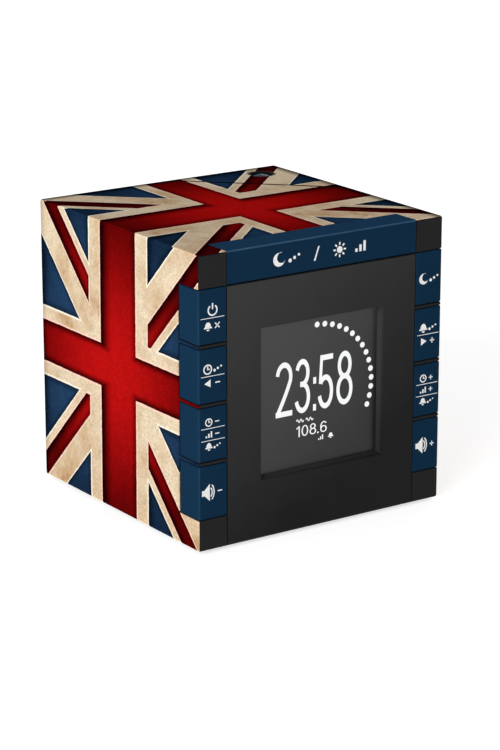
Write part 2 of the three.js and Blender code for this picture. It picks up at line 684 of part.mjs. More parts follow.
/** The leaf spring between the cell and the roof of its well. */
function batteryContact() {
  const low = CELL_Z + CELL_T + FIT / 2;
  const high = Z0 + WALL + WELL_H - FIT / 2;
  const t = GAP;
  const reach = CELL_R - CAP;
  const top = [
    [-reach, high], [-reach / 2, high], [reach / 4, low + t], [reach / 2, low + t], [reach, low + 3 * t],
  ];
  const bottom = top.map(([y, z]) => [y, z - t]).reverse();
  return prismX(outline([...top, ...bottom].map(([y, z]) => [CELL_Y + y, z])), -POST, POST);
}

// Projector corner: depths run from the cube's corner along the diagonal

/** The printed corner with the well for the lens barrel and the holder for the lamp. */
function cornerShell() {
  const w = CORNER_WALL;
  const lens = at(LENS_X, LENS_Y, Z1);
  const inside = block(0, X1 - w, 0, Y1 - w, 0, Z1 - w);
  const shell = CUBE.intersect(slab(-DEPTH, CORNER_BASE)).subtract(inside);
  const holder = turned(holderProfile(), lens, DOWN, 28);
  return shell.add(holder).subtract(rod(LENS_HOLE_R, -PAST, lensFloor(), lens, DOWN, 28));
}

/** Depth of the well's floor under the top face. */
function lensFloor() {
  return BARREL_SINK + BARREL_LENGTH + SMALL_LCD_T + 2 * FIT;
}

/** Half section of the lens well and lamp holder below the top wall. */
function holderProfile() {
  const outer = LENS_HOLE_R + BARREL_WALL;
  const bore = LED_R + FIT;
  const floor = lensFloor() + PAST;
  const end = floor + LED_LENGTH;
  const neck = bore + PAST;
  const top = CORNER_WALL / 2;
  return [[bore, top], [outer, top], [outer, floor], [neck, floor], [neck, end], [bore, end], [bore, top]];
}

/** The plate that closes the corner, with the hollow pivot that the wires pass through. */
function cornerBase() {
  const w = CORNER_WALL + FIT;
  const inside = block(0, X1 - w, 0, Y1 - w, 0, Z1 - w);
  const plate = inside.intersect(slab(CORNER_BASE - CORNER_WALL, CORNER_BASE));
  const clip = DECK_TOP + DECK + FIT;
  const profile = [
    [0, CORNER_BASE - PAST], [PIVOT_R, CORNER_BASE - PAST], [PIVOT_R, clip], [PIVOT_R - CLIP_T, clip],
    [PIVOT_R - CLIP_T, clip + CLIP_T + FIT], [PIVOT_R, clip + CLIP_T + FIT],
    [PIVOT_R, clip + 3 * CLIP_T], [0, clip + 3 * CLIP_T],
  ];
  const pivot = turned(profile, CORNER, INWARD, 28);
  const bore = rod(PIVOT_BORE, CORNER_BASE - 2 * CORNER_WALL, clip + 4 * CLIP_T, CORNER, INWARD, 28);
  return plate.add(pivot).subtract(bore);
}

/** The open spring clip in the pivot's groove, behind the deck. */
function pivotClip() {
  const h0 = DECK_TOP + DECK + FIT * 1.5;
  const inner = PIVOT_R - CLIP_T + FIT / 2;
  const full = ring(inner, CLIP_R, h0, h0 + CLIP_T, CORNER, INWARD, 24);
  const mouth = new THREE.BoxGeometry(1.5 * PIVOT_R, 4 * CLIP_T, CLIP_R);
  mouth.translate(0, h0, CLIP_R);
  mouth.applyQuaternion(new THREE.Quaternion().setFromUnitVectors(BACKWARD, INWARD));
  mouth.translate(CORNER.x, CORNER.y, CORNER.z);
  return full.subtract(solid(mouth));
}

function pivotWasher() {
  const near = CORNER_BASE + (CORNER_GAP - WASHER_T) / 2;
  return ring(PIVOT_R + 2 * FIT, WASHER_R, near, near + WASHER_T, CORNER, INWARD, 24);
}

/** The barrel that is turned to focus, with the seat of its lens. */
function lensBarrel() {
  const outer = LENS_HOLE_R - FIT / 2;
  const inner = outer - BARREL_WALL;
  const seat = inner - BARREL_WALL;
  const [top, lens, end] = [BARREL_SINK, BARREL_SINK + LENS_SINK + LENS_T, BARREL_SINK + BARREL_LENGTH];
  const profile = [
    [inner, top], [outer, top], [outer, end], [seat, end], [seat, lens], [inner, lens], [inner, top],
  ];
  return turned(profile, at(LENS_X, LENS_Y, Z1), DOWN, 28);
}

/** The glass lens: a domed disc with a plain rim. */
function projectionLens() {
  const r = LENS_HOLE_R - BARREL_WALL - FIT;
  const bottom = BARREL_SINK + LENS_SINK + LENS_T - FIT / 2;
  const dome = [0.35, 0.7, 1].map((f) => [f * r, bottom - LENS_T + (f * f * LENS_T) / 2]);
  const profile = [[0, bottom - LENS_T], ...dome, [r, bottom], [0, bottom]];
  return turned(profile, at(LENS_X, LENS_Y, Z1), DOWN, 28);
}

/** The small display that the lamp shines through, on the floor of the lens well. */
function projectorLcd() {
  const bottom = lensFloor() - FIT / 2;
  return rod(LENS_HOLE_R - FIT, bottom - SMALL_LCD_T, bottom, at(LENS_X, LENS_Y, Z1), DOWN, 24);
}

function projectorLamp() {
  const top = lensFloor() + FIT;
  const end = lensFloor() + PAST + LED_LENGTH + FIT;
  const rim = LED_R + 2 * FIT;
  const dome = [[0, top], [LED_R / 2, top + FIT], [LED_R, top + LED_R / 2]];
  const profile = [...dome, [LED_R, end], [rim, end], [rim, end + PAST], [0, end + PAST]];
  return turned(profile, at(LENS_X, LENS_Y, Z1), DOWN, 20);
}

/** A pan-head screw with a cross recess: seated at a point, driven along a direction. */
function screw(seat, direction, length) {
  const [r, h, e] = [SCREW_HEAD_R, SCREW_HEAD_T, GAP / 2];
  const head = [[0, -h], [r - 2 * e, -h], [r, -h + 2 * e], [r, -e]];
  const profile = [...head, [SCREW_R, -e], [SCREW_R, length - SCREW_R], [0, length]];
  const body = turned(profile, seat, direction, 10);
  const turn = new THREE.Quaternion().setFromUnitVectors(BACKWARD, direction);
  const recess = [[1.3 * r, r / 4], [r / 4, 1.3 * r]].map(([a, b]) => {
    const g = new THREE.BoxGeometry(a, h, b);
    g.translate(0, -h, 0);
    g.applyQuaternion(turn);
    g.translate(seat.x, seat.y, seat.z);
    return solid(g);
  });
  return body.subtract(recess[0].add(recess[1]));
}

// Finishes, with colours as the photo shows them
function finish(color, roughness, metalness = 0) {
  return new THREE.MeshStandardMaterial({ color, roughness, metalness });
}
const PRINTED = finish(0x9c1412, 0.35);
const CHARCOAL = finish(0x2c2c2d, 0.5);
const NAVY = finish(0x12304f, 0.4);
const BLACK = finish(0x1c1c1d, 0.6);
const RUBBER = finish(0x18181a, 0.9);
const DISPLAY = finish(0x444444, 0.25);
const LIGHT_GUIDE = finish(0xe8ece8, 0.4);
const BOARD = finish(0x1f5a33, 0.6);
const STEEL = finish(0x9a9c9e, 0.35, 0.9);
const GLASS = finish(0x9fb4c4, 0.05);
const COPPER = finish(0xa45a2c, 0.4, 0.8);
const FERRITE = finish(0x2a2624, 0.7);
const PAPER = finish(0x2b2a29, 0.95);
const CABLE = finish(0xb9bcc0, 0.6);

const projectionClockRadio = new THREE.Group();
projectionClockRadio.name = "projection_clock_radio";

/** Adds one piece to the group under its name. */
function piece(name, made, material) {
  const { vertProperties, triVerts } = made.getMesh();
  const g = new THREE.BufferGeometry();
  g.setAttribute("position", new THREE.BufferAttribute(new Float32Array(vertProperties), 3));
  g.setIndex(new THREE.BufferAttribute(new Uint32Array(triVerts), 1));
  g.computeVertexNormals();
  const mesh = new THREE.Mesh(g, material);
  mesh.name = name;
  projectionClockRadio.add(mesh);
}

/** Adds a row of numbered screws of one length, seated at a list of places. */
function screws(name, seats, direction, length) {
  seats.forEach((seat, i) => piece(`${name}_${i + 1}`, screw(seat, direction, length), STEEL));
}

piece("case_shell", caseShell(), PRINTED);
piece("front_panel", frontPanel(), CHARCOAL);
piece("rear_cover", rearCover(), BLACK);
for (const [name, x, y] of FEET) piece(`foot_${name}`, foot(x, y), RUBBER);
piece("snooze_bar", snoozeBar(), NAVY);
piece("snooze_switch", snoozeSwitch(), BLACK);
for (const [name, side] of SIDES) {
  for (let row = 0; row < KEY_ROWS; row++) {
    const label = `${name}_${row + 1}`;
    piece(`key_${label}`, key(side, row), NAVY);
    piece(`switch_${label}`, tactSwitch(at(side * SWITCH_X, 0, keyTop(row) - KEY_H / 2)), BLACK);
  }
}
piece("lcd_glass", lcdGlass(), DISPLAY);
piece("lcd_backlight", lcdBacklight(), LIGHT_GUIDE);
piece("front_board", frontBoard(), BOARD);
piece("main_board", mainBoard(), BOARD);
piece("tuner_shield", tunerShield(), STEEL);
piece("smoothing_capacitor", smoothingCapacitor(), BLACK);
piece("ferrite_rod", ferriteRod(), FERRITE);
piece("aerial_coil", aerialCoil(), COPPER);
piece("ribbon_cable", ribbonCable(), CABLE);
piece("power_socket", powerSocket(), BLACK);
piece("aerial_grommet", aerialGrommet(), RUBBER);
piece("speaker_frame", speakerFrame(), STEEL);
piece("speaker_cone", speakerCone(), PAPER);
piece("speaker_magnet", speakerMagnet(), FERRITE);
piece("battery_cap", batteryCap(), BLACK);
piece("coin_cell", coinCell(), STEEL);
piece("battery_contact", batteryContact(), STEEL);
piece("corner_shell", cornerShell(), PRINTED);
piece("corner_base", cornerBase(), BLACK);
piece("pivot_clip", pivotClip(), STEEL);
piece("pivot_washer", pivotWasher(), RUBBER);
piece("lens_barrel", lensBarrel(), BLACK);
piece("projection_lens", projectionLens(), GLASS);
piece("projector_lcd", projectorLcd(), DISPLAY);
piece("projector_lamp", projectorLamp(), LIGHT_GUIDE);

const boardBack = BOARD_Y + BOARD_T;
const boardScrew = boardBack - FRONT_IN - PAST;
const speakerSeat = BACK_IN - 2 * CAP;
screws("rear_screw", REAR_SCREWS.map((p) => at(p.x, BACK_Y - PAST, p.z)), FORWARD, SCREW_LENGTH);
screws("board_screw", SCREWED_BOSSES.map((p) => at(p.x, boardBack, p.z)), FORWARD, boardScrew);
screws("main_screw", SCREWED_STANDOFFS.map((p) => at(p.x, p.y, MAIN_TOP)), DOWN, SCREW_LENGTH);
screws("speaker_screw", SPEAKER_SCREWS.map((p) => at(p.x, speakerSeat, p.z)), BACKWARD, 2 * CAP);

export default projectionClockRadio;
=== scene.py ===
"""Looks of a projection clock radio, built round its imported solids.

The cube-shaped case, its keys and its turning corner come from the CAD frame. This script breaks
their moulded edges, gives every one its finish, and adds what the solids leave plain: the marks on
the keys, the lit figures of the display, the ground lens and its focus ring, the screw heads and
the ribbed feet. Meshes are in metres, in the frame of the solids, with the front facing -Y.
"""
import json
import logging
import math
from dataclasses import dataclass, field
from enum import Enum
from typing import Callable, Iterable, Sequence

import bmesh
import bpy
import numpy as np
from mathutils import Matrix, Vector

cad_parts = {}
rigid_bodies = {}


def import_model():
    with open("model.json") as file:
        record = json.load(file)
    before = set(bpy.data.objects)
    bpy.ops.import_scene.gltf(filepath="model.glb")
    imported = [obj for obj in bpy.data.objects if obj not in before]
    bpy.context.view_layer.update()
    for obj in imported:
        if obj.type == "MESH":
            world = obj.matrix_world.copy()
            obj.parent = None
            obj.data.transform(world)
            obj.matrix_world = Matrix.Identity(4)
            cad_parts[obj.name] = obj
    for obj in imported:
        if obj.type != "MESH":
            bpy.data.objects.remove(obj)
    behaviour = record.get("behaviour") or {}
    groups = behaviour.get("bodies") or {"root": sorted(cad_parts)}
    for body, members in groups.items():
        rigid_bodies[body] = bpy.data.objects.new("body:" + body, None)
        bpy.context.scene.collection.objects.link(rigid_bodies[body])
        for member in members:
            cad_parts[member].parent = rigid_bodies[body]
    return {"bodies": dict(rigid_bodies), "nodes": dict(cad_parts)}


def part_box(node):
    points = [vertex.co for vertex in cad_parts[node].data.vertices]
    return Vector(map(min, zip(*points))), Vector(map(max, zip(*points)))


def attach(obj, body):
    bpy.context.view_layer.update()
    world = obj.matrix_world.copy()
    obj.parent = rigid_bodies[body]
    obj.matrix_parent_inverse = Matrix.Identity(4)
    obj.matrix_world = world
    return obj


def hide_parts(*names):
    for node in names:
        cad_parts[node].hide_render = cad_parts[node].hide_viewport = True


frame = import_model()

MM = 0.001
# Points of a piece that lie closer than this, in metres, are one.
SAME_PLACE = 1e-8
# Where most of a noise lies.
NOISE_SPAN = (0.3, 0.7)
LOG = logging.getLogger("clock_radio")

Node = bpy.types.Node
Socket = bpy.types.NodeSocket
Adder = Callable[..., Node]
Inputs = dict[str | int, object]
Pair = tuple[float, float]
Place = tuple[float, float, float]

# Kinds of node by Blender's names, and below them kinds that come with a setting.
RANGE = "ShaderNodeMapRange"
MIX = "ShaderNodeMix"
NOISE = "ShaderNodeTexNoise"
COORDS = "ShaderNodeTexCoord"
SPLIT = "ShaderNodeSeparateXYZ"
JOIN = "ShaderNodeCombineXYZ"
BUMP = "ShaderNodeBump"
SURFACE = "ShaderNodeBsdfPrincipled"
OUTPUT = "ShaderNodeOutputMaterial"
EASE = (RANGE, {"interpolation_type": "SMOOTHSTEP"})
BLEND = (MIX, {"data_type": "RGBA"})
CHOICE = (MIX, {"data_type": "VECTOR"})
PLUS, MINUS, TIMES, OVER, TIMES_PLUS, LEAST, MOST, ABOVE, BELOW, SIZE, SIGN = (
    ("ShaderNodeMath", {"operation": name}) for name in (
        "ADD", "SUBTRACT", "MULTIPLY", "DIVIDE", "MULTIPLY_ADD", "MINIMUM", "MAXIMUM", "GREATER_THAN",
        "LESS_THAN", "ABSOLUTE", "SIGN"))
V_MINUS, V_TIMES, V_TIMES_PLUS, V_DOT, V_LENGTH, V_SCALE = (
    ("ShaderNodeVectorMath", {"operation": name}) for name in (
        "SUBTRACT", "MULTIPLY", "MULTIPLY_ADD", "DOT_PRODUCT", "LENGTH", "SCALE"))


def linear(code: str) -> tuple[float, float, float, float]:
    """Turns an sRGB hex value into a linear colour.

    Args:
        code: Six hex digits after a hash.

    Returns:
        Linear red, green and blue, with an alpha of one.
    """
    srgb = np.array([int(code[i:i + 2], 16) for i in (1, 3, 5)]) / 255.0
    value = np.where(srgb <= 0.04045, srgb / 12.92, ((srgb + 0.055) / 1.055) ** 2.4)
    return (*(float(v) for v in value), 1.0)


class Shader:
    """A node tree while it is being drawn."""

    def __init__(self, tree: bpy.types.NodeTree) -> None:
        """Takes over a tree and empties it."""
        self.tree = tree
        tree.nodes.clear()

    def add(self, kind: str | tuple[str, dict], *inputs: object, **settings: object) -> Node:
        """Adds one node with its settings and links.

        Args:
            kind: Blender's name for the type of node, alone or with settings.
            inputs: Inputs in order, or one dictionary of them by index or name. A node is linked from
                its first live output, an output socket is linked, a hex colour is made linear, and
                any other value is set on the input.
            settings: More properties of the node.

        Returns:
            The new node.
        """
        name, preset = kind if isinstance(kind, tuple) else (kind, {})
        node = self.tree.nodes.new(name)
        for key, value in (preset | settings).items():
            setattr(node, key, value)
        named = inputs[0] if inputs and isinstance(inputs[0], dict) else dict(enumerate(inputs))
        for key, value in named.items():
            if isinstance(value, bpy.types.Node):
                value = next(o for o in value.outputs if o.enabled)
            if isinstance(value, bpy.types.NodeSocket):
                self.tree.links.new(value, node.inputs[key])
            else:
                is_colour = isinstance(value, str) and value.startswith("#")
                node.inputs[key].default_value = linear(value) if is_colour else value
        return node


@dataclass(frozen=True)
class Finish:
    """What a surface is made of and how it was worked.

    Its paint method draws the nodes of the finish with a function that adds a node, from a place in
    Object coordinates, and returns the inputs of the surface.
    """

    name: str
    slot: str

    def paint(self, add: Adder, place: Socket) -> Inputs:
        """Draws the nodes of the finish and returns the inputs of its surface."""
        raise NotImplementedError

    def material(self) -> bpy.types.Material:
        """Draws the material on the first call.

        Returns:
            The material.
        """
        made = bpy.data.materials.get(self.name)
        if made is None:
            made = bpy.data.materials.new(self.name)
            made.use_nodes = True
            add = Shader(made.node_tree).add
            inputs = self.paint(add, add(COORDS).outputs["Object"])
            add(OUTPUT, {"Surface": add(SURFACE, inputs)})
        return made


@dataclass(frozen=True)
class Fade:
    """A straight change of tone over a piece, from nothing at one point to all of it at another."""

    start: Place
    end: Place

    def share(self, add: Adder, place: Socket) -> Node:
        """Adds the share of the way that a point has gone from start to end.

        Args:
            add: Adds a node to the tree.
            place: Object coordinates in metres.

        Returns:
            A node that gives 0 at the start and 1 at the end.
        """
        way = Vector(self.end) - Vector(self.start)
        way = way / way.length_squared
        along = add(V_DOT, place, tuple(way / MM))
        return add(MINUS, along, way.dot(Vector(self.start)), use_clamp=True)


@dataclass(frozen=True)
class Cube:
    """The cube that the case, the keys and the corner are cut from, in millimetres."""

    half_width: float
    half_depth: float
    bottom: float
    top: float
    corner_leg: float
    broken_edge: float = 0.2

    @classmethod
    def measured(cls) -> "Cube":
        """Takes the extent from the shell and the cut-off corner.

        Returns:
            The cube.
        """
        low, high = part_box("case_shell")
        corner_low, corner_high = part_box("corner_shell")
        return cls(high.x / MM, high.y / MM, low.z / MM, high.z / MM, (corner_high.x - corner_low.x) / MM)

    def edge(self, add: Adder, axes: Sequence[Socket], reach: float) -> Node:
        """Adds a mask of the cube's front and upper edges: wear with a painted highlight, and a dark edge.

        The distance to an edge is the second smallest of the distances to the side, front and top.

        Args:
            add: Adds a node to the tree.
            axes: Place across, in depth and in height, in millimetres.
            reach: How far from an edge the mask fades out.

        Returns:
            A node that gives 1 on the broken edge and 0 from reach on.
        """
        x, y, z = axes
        side = add(MINUS, self.half_width, add(SIZE, x))
        front = add(PLUS, y, self.half_depth)
        above = add(MINUS, self.top, z)
        far = add(LEAST, add(MOST, side, front), above)
        second = add(MOST, add(LEAST, side, front), far)
        return add(EASE, second, self.broken_edge, reach, 1.0, 0.0)


CUBE = Cube.measured()


@dataclass(frozen=True)
class MouldedPlastic(Finish):
    """ABS moulded in a spark-eroded tool: a fine even grit that spreads the light to a soft sheen.

    The grit is a few hundredths of a millimetre on the tool, and is drawn coarser so that it shows.
    Fades paint light into the colour: a painted sheen, and faces painted paler where more light falls.
    A piece that is often touched is rubbed paler along the cube's edges, mostly the upper ones, which
    also stands in as a painted highlight there.
    """

    deep: str
    pale: str
    roughness: float = 0.5
    gloss: float = 0.3
    grit_mm: float = 0.5
    relief_mm: float = 0.02
    cloud_mm: float = 22.0
    painted_light_fades: tuple[tuple[Fade, float], ...] = ()
    # Pale shade of the edges: rubbed wear and a painted highlight.
    rubbed: str = ""
    wear_and_highlight_mm: float = 0.75
    wear_and_highlight_heights_mm: Pair = (3.0, 1.0)
    least_wear_and_highlight: float = 0.15
    speckle: float = 0.45
    speck_span: Pair = (0.45, 1.0)
    mottle: float = 0.5
    faded_mottle: float = 0.07
    rough_spread: float = 0.06

    def paint(self, add: Adder, place: Socket) -> Inputs:
        """Mixes two shades in broad clouds and carries the grit into roughness and bump.

        Args:
            add: Adds a node to the tree.
            place: Object coordinates in metres.

        Returns:
            The inputs of the surface.
        """
        cloud = add(NOISE, {"Vector": place, "Scale": 1 / (self.cloud_mm * MM), "Detail": 4.0})
        grit = add(NOISE, {"Vector": place, "Scale": 1 / (self.grit_mm * MM), "Detail": 2.0})
        speck = add(TIMES_PLUS, grit, self.speckle, cloud)
        spread = self.faded_mottle if self.painted_light_fades else self.mottle
        tone = add(RANGE, speck, *self.speck_span, 0.5 - spread, 0.5 + spread)
        # Painted light: each fade lifts the tone towards the pale shade along its way.
        if self.painted_light_fades:
            tone = add(MINUS, tone, 0.5)
        for fade, gain in self.painted_light_fades:
            tone = add(TIMES_PLUS, fade.share(add, place), gain, tone, use_clamp=True)
        colour = add(BLEND, {0: tone, 6: self.deep, 7: self.pale})
        # Paler along the cube's edges, mostly the upper ones: wear, and a painted highlight there.
        if self.rubbed:
            axes = add(SPLIT, add(V_SCALE, {0: place, "Scale": 1 / MM})).outputs
            heights = [CUBE.top - down for down in self.wear_and_highlight_heights_mm]
            wear_and_highlight_by_height = add(TIMES, add(RANGE, axes[2], *heights, self.least_wear_and_highlight, 1.0), cloud)
            wear_and_highlight = add(TIMES, CUBE.edge(add, axes, self.wear_and_highlight_mm), wear_and_highlight_by_height)
            colour = add(BLEND, {0: wear_and_highlight, 6: colour, 7: self.rubbed})
        ends = (self.roughness - self.rough_spread, self.roughness + self.rough_spread)
        rough = add(RANGE, grit, *NOISE_SPAN, *ends)
        bump = add(BUMP, {"Strength": 0.5, "Distance": self.relief_mm * MM, "Height": grit})
        return {"Base Color": colour, "Roughness": rough, "Normal": bump, "IOR": 1.5,
                "Specular IOR Level": self.gloss}


@dataclass(frozen=True)
class Shadow:
    """A soft shadow inside a printed edge: its reach, the least light in it and where it starts.

    Lengths are millimetres. The top may have a reach and a least light of its own.
    """

    reach: float
    least: float
    start: float = 0.0
    roof: Pair | None = None


@dataclass(frozen=True)
class PrintedFilm(Finish):
    """ABS with an aged flag print under a matt varnish.

    Cream, red and navy fields meet in crisp edges. The cream looks as if it lay on top: its rims are
    brighter, with a blush where red ink has bled into them, and a soft shadow falls on the red and
    the navy next to its forward edge. The reds sink towards the rim of a face, tea-coloured stains
    mottle the cream, and the print is darker along the far edges and tan towards the foot. Painted
    light lifts the print, most on the top, and the cube's edges are paler with wear and a painted
    highlight. The film covers the outer skin alone: the front, the back and the cut edges show bare
    dark plastic. The flag's middle lies a little ahead of the cube's, and on the sides it leans by a
    hair.

    Lengths are millimetres, and bands are shares of a face. A pair in the last group holds one value
    for the sides and one for the top. A grain has its size, its detail and its roughness. Stains have
    the noise that they start at, the noise where they are full, and their strength.
    """

    bare: str = "#2c2c2d"
    film_end: str = "#0c0a09"
    red: str = "#b41010"
    red_deep: str = "#1c0102"
    cream: str = "#dfcdb0"
    cream_rim: str = "#fcf2e2"
    blush: str = "#ffcfbc"
    stain: str = "#c49f75"
    foxed: str = "#94693b"
    navy: str = "#203b5a"
    navy_deep: str = "#081320"

    cross: Pair = (0.0755, 0.1115)
    border: Pair = (0.1275, 0.187)
    diagonal: Pair = (0.1335, 0.1415)
    diagonal_red: float = 0.0955
    diagonal_rise: float = 0.0112
    front_rise: float = 0.008
    askew: float = -0.009
    roof_slope: float = 0.95

    ahead_mm: float = 0.75
    skin: float = 0.3
    seam_gap: float = 0.5
    seam_rim: float = 0.58
    crisp: float = 0.08
    waver: Pair = (3.0, 0.35)
    broad_grain: Place = (19.0, 3.0, 0.5)
    blotch_grain: Place = (6.0, 6.0, 0.62)
    spot_grain: Place = (2.8, 8.0, 0.72)
    paper_grain: Place = (0.7, 5.0, 0.75)
    foot_tan: Pair = (10.5, 14.0)
    wear_and_highlight_edge: float = 0.6
    dark_edge: float = 0.7

    upright_shadows: tuple[Shadow, ...] = (Shadow(7.5, 0.0, 0.45), Shadow(3.6, 0.36, roof=(5.5, 0.33)))
    level_shadow: Shadow = Shadow(3.1, 0.06, roof=(3.6, 0.3))
    stripe_shadows: tuple[Shadow, ...] = (Shadow(6.0, 0.0, 0.3), Shadow(3.4, 0.35), Shadow(1.6, 0.25))
    navy_shadows: tuple[Shadow, ...] = (Shadow(6.0, 0.1), Shadow(3.0, 0.3))

    stain_noise: Place = (0.78, 1.2, 0.85)
    foxing_noise: Place = (0.93, 1.2, 0.75)
    foot_tan_strength: float = 0.4
    blotch_share: float = 0.55
    stain_share: float = 0.5
    weave_share: float = 0.3
    paper_span: Pair = (0.32, 0.68)
    paper_light: Pair = (0.57, 1.08)
    spot_light: float = 0.32
    wear_and_highlight_light: float = 0.7
    uneven_red: float = 0.22
    uneven_navy: float = 0.55
    heart_scale: Place = (1.08, 1.0, 0.0)
    heart_shift: Place = (0.0, 0.05, 0.0)
    sunk_red: Pair = (0.04, 0.17)
    sunk_navy: Pair = (0.34, 0.35)
    roof_stripes: Pair = (0.33, 0.6)
    far_darkening_lift: float = 0.25
    rim: Pair = (1.1, 0.15)
    roughness: Pair = (0.44, 0.58)
    relief_mm: float = 0.03

    rim_light: Pair = (0.95, 0.75)
    sunk_from: Pair = (0.63, 0.56)
    far_darkening_start: Pair = (0.6, 1.2)
    spared: Pair = (4.2, 5.4)
    far_darkening_light: Pair = (0.75, 0.2)
    # Painted light: the print is lifted a little on the sides and more on the top.
    brightness: Pair = (1.03, 1.08)

    def paint(self, add: Adder, place: Socket) -> Inputs:
        """Draws the flag from distances to its bands, then the film's edge and the bare plastic.

        Args:
            add: Adds a node to the tree.
            place: Object coordinates in metres.

        Returns:
            The inputs of the surface.
        """
        flag = FlagDrawing(self, add, place)
        flag.locate()
        flag.measure()
        flag.age()
        flag.light()
        flag.far_edge_darkening()
        colour = flag.end(flag.inks())
        rough = add(RANGE, flag.blotch, *NOISE_SPAN, *self.roughness)
        bump = add(BUMP, {"Strength": 0.35, "Distance": self.relief_mm * MM, "Height": flag.weave})
        return {"Base Color": colour, "Roughness": rough, "Normal": bump, "IOR": 1.5,
                "Specular IOR Level": 0.0}


class FlagDrawing:
    """The flag print while it is drawn: each step leaves its nodes for the next.

    The face coordinates a and b run from -0.5 to 0.5. On a side a is the height and b the depth, and
    on the top a runs across and b is the depth. A distance inside a band is a share of the face.
    """

    def __init__(self, film: PrintedFilm, add: Adder, place: Socket) -> None:
        """Starts from the place on the surface.

        Args:
            film: The finish.
            add: Adds a node to the tree.
            place: Object coordinates in metres.
        """
        self.film = film
        self.add = add
        self.tall = CUBE.top - CUBE.bottom
        self.mm = add(V_SCALE, {0: place, "Scale": 1 / MM})
        self.axes = list(add(SPLIT, self.mm).outputs)

    def by_face(self, values: Sequence[float]) -> Node:
        """Adds one value for the sides and another for the top."""
        return self.add(RANGE, self.on_top, 0.0, 1.0, *values)

    def shade(self, inside: Node, shadow: Shadow) -> Node:
        """Adds the light in a shadow, which grows from its least at the start to 1 at its reach.

        Args:
            inside: Distance inside the edge that casts the shadow.
            shadow: The shadow.

        Returns:
            A node that gives the light.
        """
        ends = (shadow.reach / self.tall, shadow.least)
        if shadow.roof:
            roof_ends = (shadow.roof[0] / self.tall, shadow.roof[1])
            ends = tuple(self.by_face(pair) for pair in zip(ends, roof_ends))
        return self.add(EASE, inside, shadow.start / self.tall, *ends, 1.0)

    def within(self, inside: Node, light: Node) -> Node:
        """Adds the light of one band, and none outside it."""
        crisp = self.film.crisp / self.tall
        return self.add(TIMES, light, self.add(RANGE, inside, -2 * crisp, -crisp, 0.0, 1.0))

    def locate(self) -> None:
        """Finds the face, the nearer of side and top, and the place on it, with a printer's waver."""
        add, film = self.add, self.film
        x, y, z = self.axes
        to_side = add(MINUS, CUBE.half_width, add(SIZE, x))
        to_top = add(MINUS, CUBE.top, z)
        self.depth = add(LEAST, to_side, to_top)
        self.on_top = add(BELOW, to_top, to_side)
        flag_y = add(PLUS, y, film.ahead_mm)
        side_a = add(RANGE, z, CUBE.bottom, CUBE.top, -0.5, 0.5, clamp=False)
        side_b = add(OVER, add(TIMES, flag_y, add(SIGN, x)), 2 * CUBE.half_depth)
        side_b = add(TIMES_PLUS, side_a, film.askew, side_b)
        top_a = add(OVER, x, 2 * CUBE.half_width)
        top_b = add(OVER, flag_y, 2 * CUBE.half_depth)
        face = add(CHOICE, {0: self.on_top, 4: add(JOIN, side_a, side_b), 5: add(JOIN, top_a, top_b)})
        spacing, size = film.waver
        waver = add(NOISE, {"Vector": self.mm, "Scale": 1 / spacing, "Detail": 3.0}).outputs["Color"]
        shift = add(V_MINUS, waver, (0.5, 0.5, 0.5))
        self.face = add(V_TIMES_PLUS, shift, (size / self.tall, size / self.tall, 0.0), face)
        self.a, self.b, _ = add(SPLIT, self.face).outputs
        self.turn = add(SIGN, add(TIMES, self.a, self.b))

    def measure(self) -> None:
        """Measures the distances inside the cross, its border, the diagonals and their red."""
        add, film = self.add, self.film
        sizes = (add(SIZE, self.a), add(SIZE, self.b))
        self.in_level, self.in_upright = (add(MINUS, *pair) for pair in zip(film.cross, sizes))
        border = add(MOST, *(add(MINUS, *pair) for pair in zip(film.border, sizes)))
        self.outside = add(TIMES, border, -1.0)
        quarter = add(ABOVE, add(LEAST, self.a, self.b), 0.0)
        rise = add(TIMES_PLUS, quarter, film.front_rise, film.diagonal_rise)
        rise = add(MIX, {0: self.on_top, 2: rise, 3: 0.0})
        steep = add(TIMES, add(MINUS, sizes[0], rise), self.by_face((1.0, film.roof_slope)))
        self.across = add(TIMES, add(MINUS, sizes[1], steep), self.turn)
        self.back_across = add(MINUS, film.diagonal_red, self.across)
        stripe = add(LEAST, self.across, self.back_across)
        self.stripe = add(LEAST, stripe, self.outside)
        off_broad = add(TIMES_PLUS, self.across, -1.0, -film.diagonal[0])
        off_slim = add(MINUS, self.across, film.diagonal[1])
        cross = add(MOST, self.in_level, self.in_upright)
        self.in_red = add(MOST, cross, self.stripe)
        self.in_navy = add(LEAST, self.outside, add(MOST, off_broad, off_slim))

    def age(self) -> None:
        """Lays tea stains, foxing, blotches and paper grain, and turns the cream tan at the foot."""
        add, film = self.add, self.film
        broad, self.blotch, self.spots, self.weave = (
            add(NOISE, {"Vector": self.mm, "Scale": 1 / size, "Detail": detail, "Roughness": rough})
            for size, detail, rough in (
                film.broad_grain, film.blotch_grain, film.spot_grain, film.paper_grain))
        stained = add(TIMES_PLUS, self.blotch, film.blotch_share, broad)
        foxing = add(TIMES_PLUS, stained, film.stain_share, self.spots)
        self.foxing = add(EASE, foxing, *film.foxing_noise[:2], 0.0, film.foxing_noise[2])
        stained = add(TIMES_PLUS, self.weave, film.weave_share, stained)
        stained = add(EASE, stained, *film.stain_noise[:2], 0.0, film.stain_noise[2])
        foot_tan = add(EASE, self.axes[2], *(CUBE.bottom + up for up in film.foot_tan), film.foot_tan_strength, 0.0)
        self.stained = add(MOST, stained, foot_tan)
        paper = add(RANGE, self.weave, *film.paper_span, *film.paper_light)
        fleck = add(TIMES_PLUS, self.spots, film.spot_light, paper)
        # Paler along the cube's edges: wear, and a painted highlight on the crease.
        wear_and_highlight = add(TIMES, CUBE.edge(add, self.axes, film.wear_and_highlight_edge), self.spots)
        self.fleck = add(TIMES_PLUS, wear_and_highlight, film.wear_and_highlight_light, fleck)

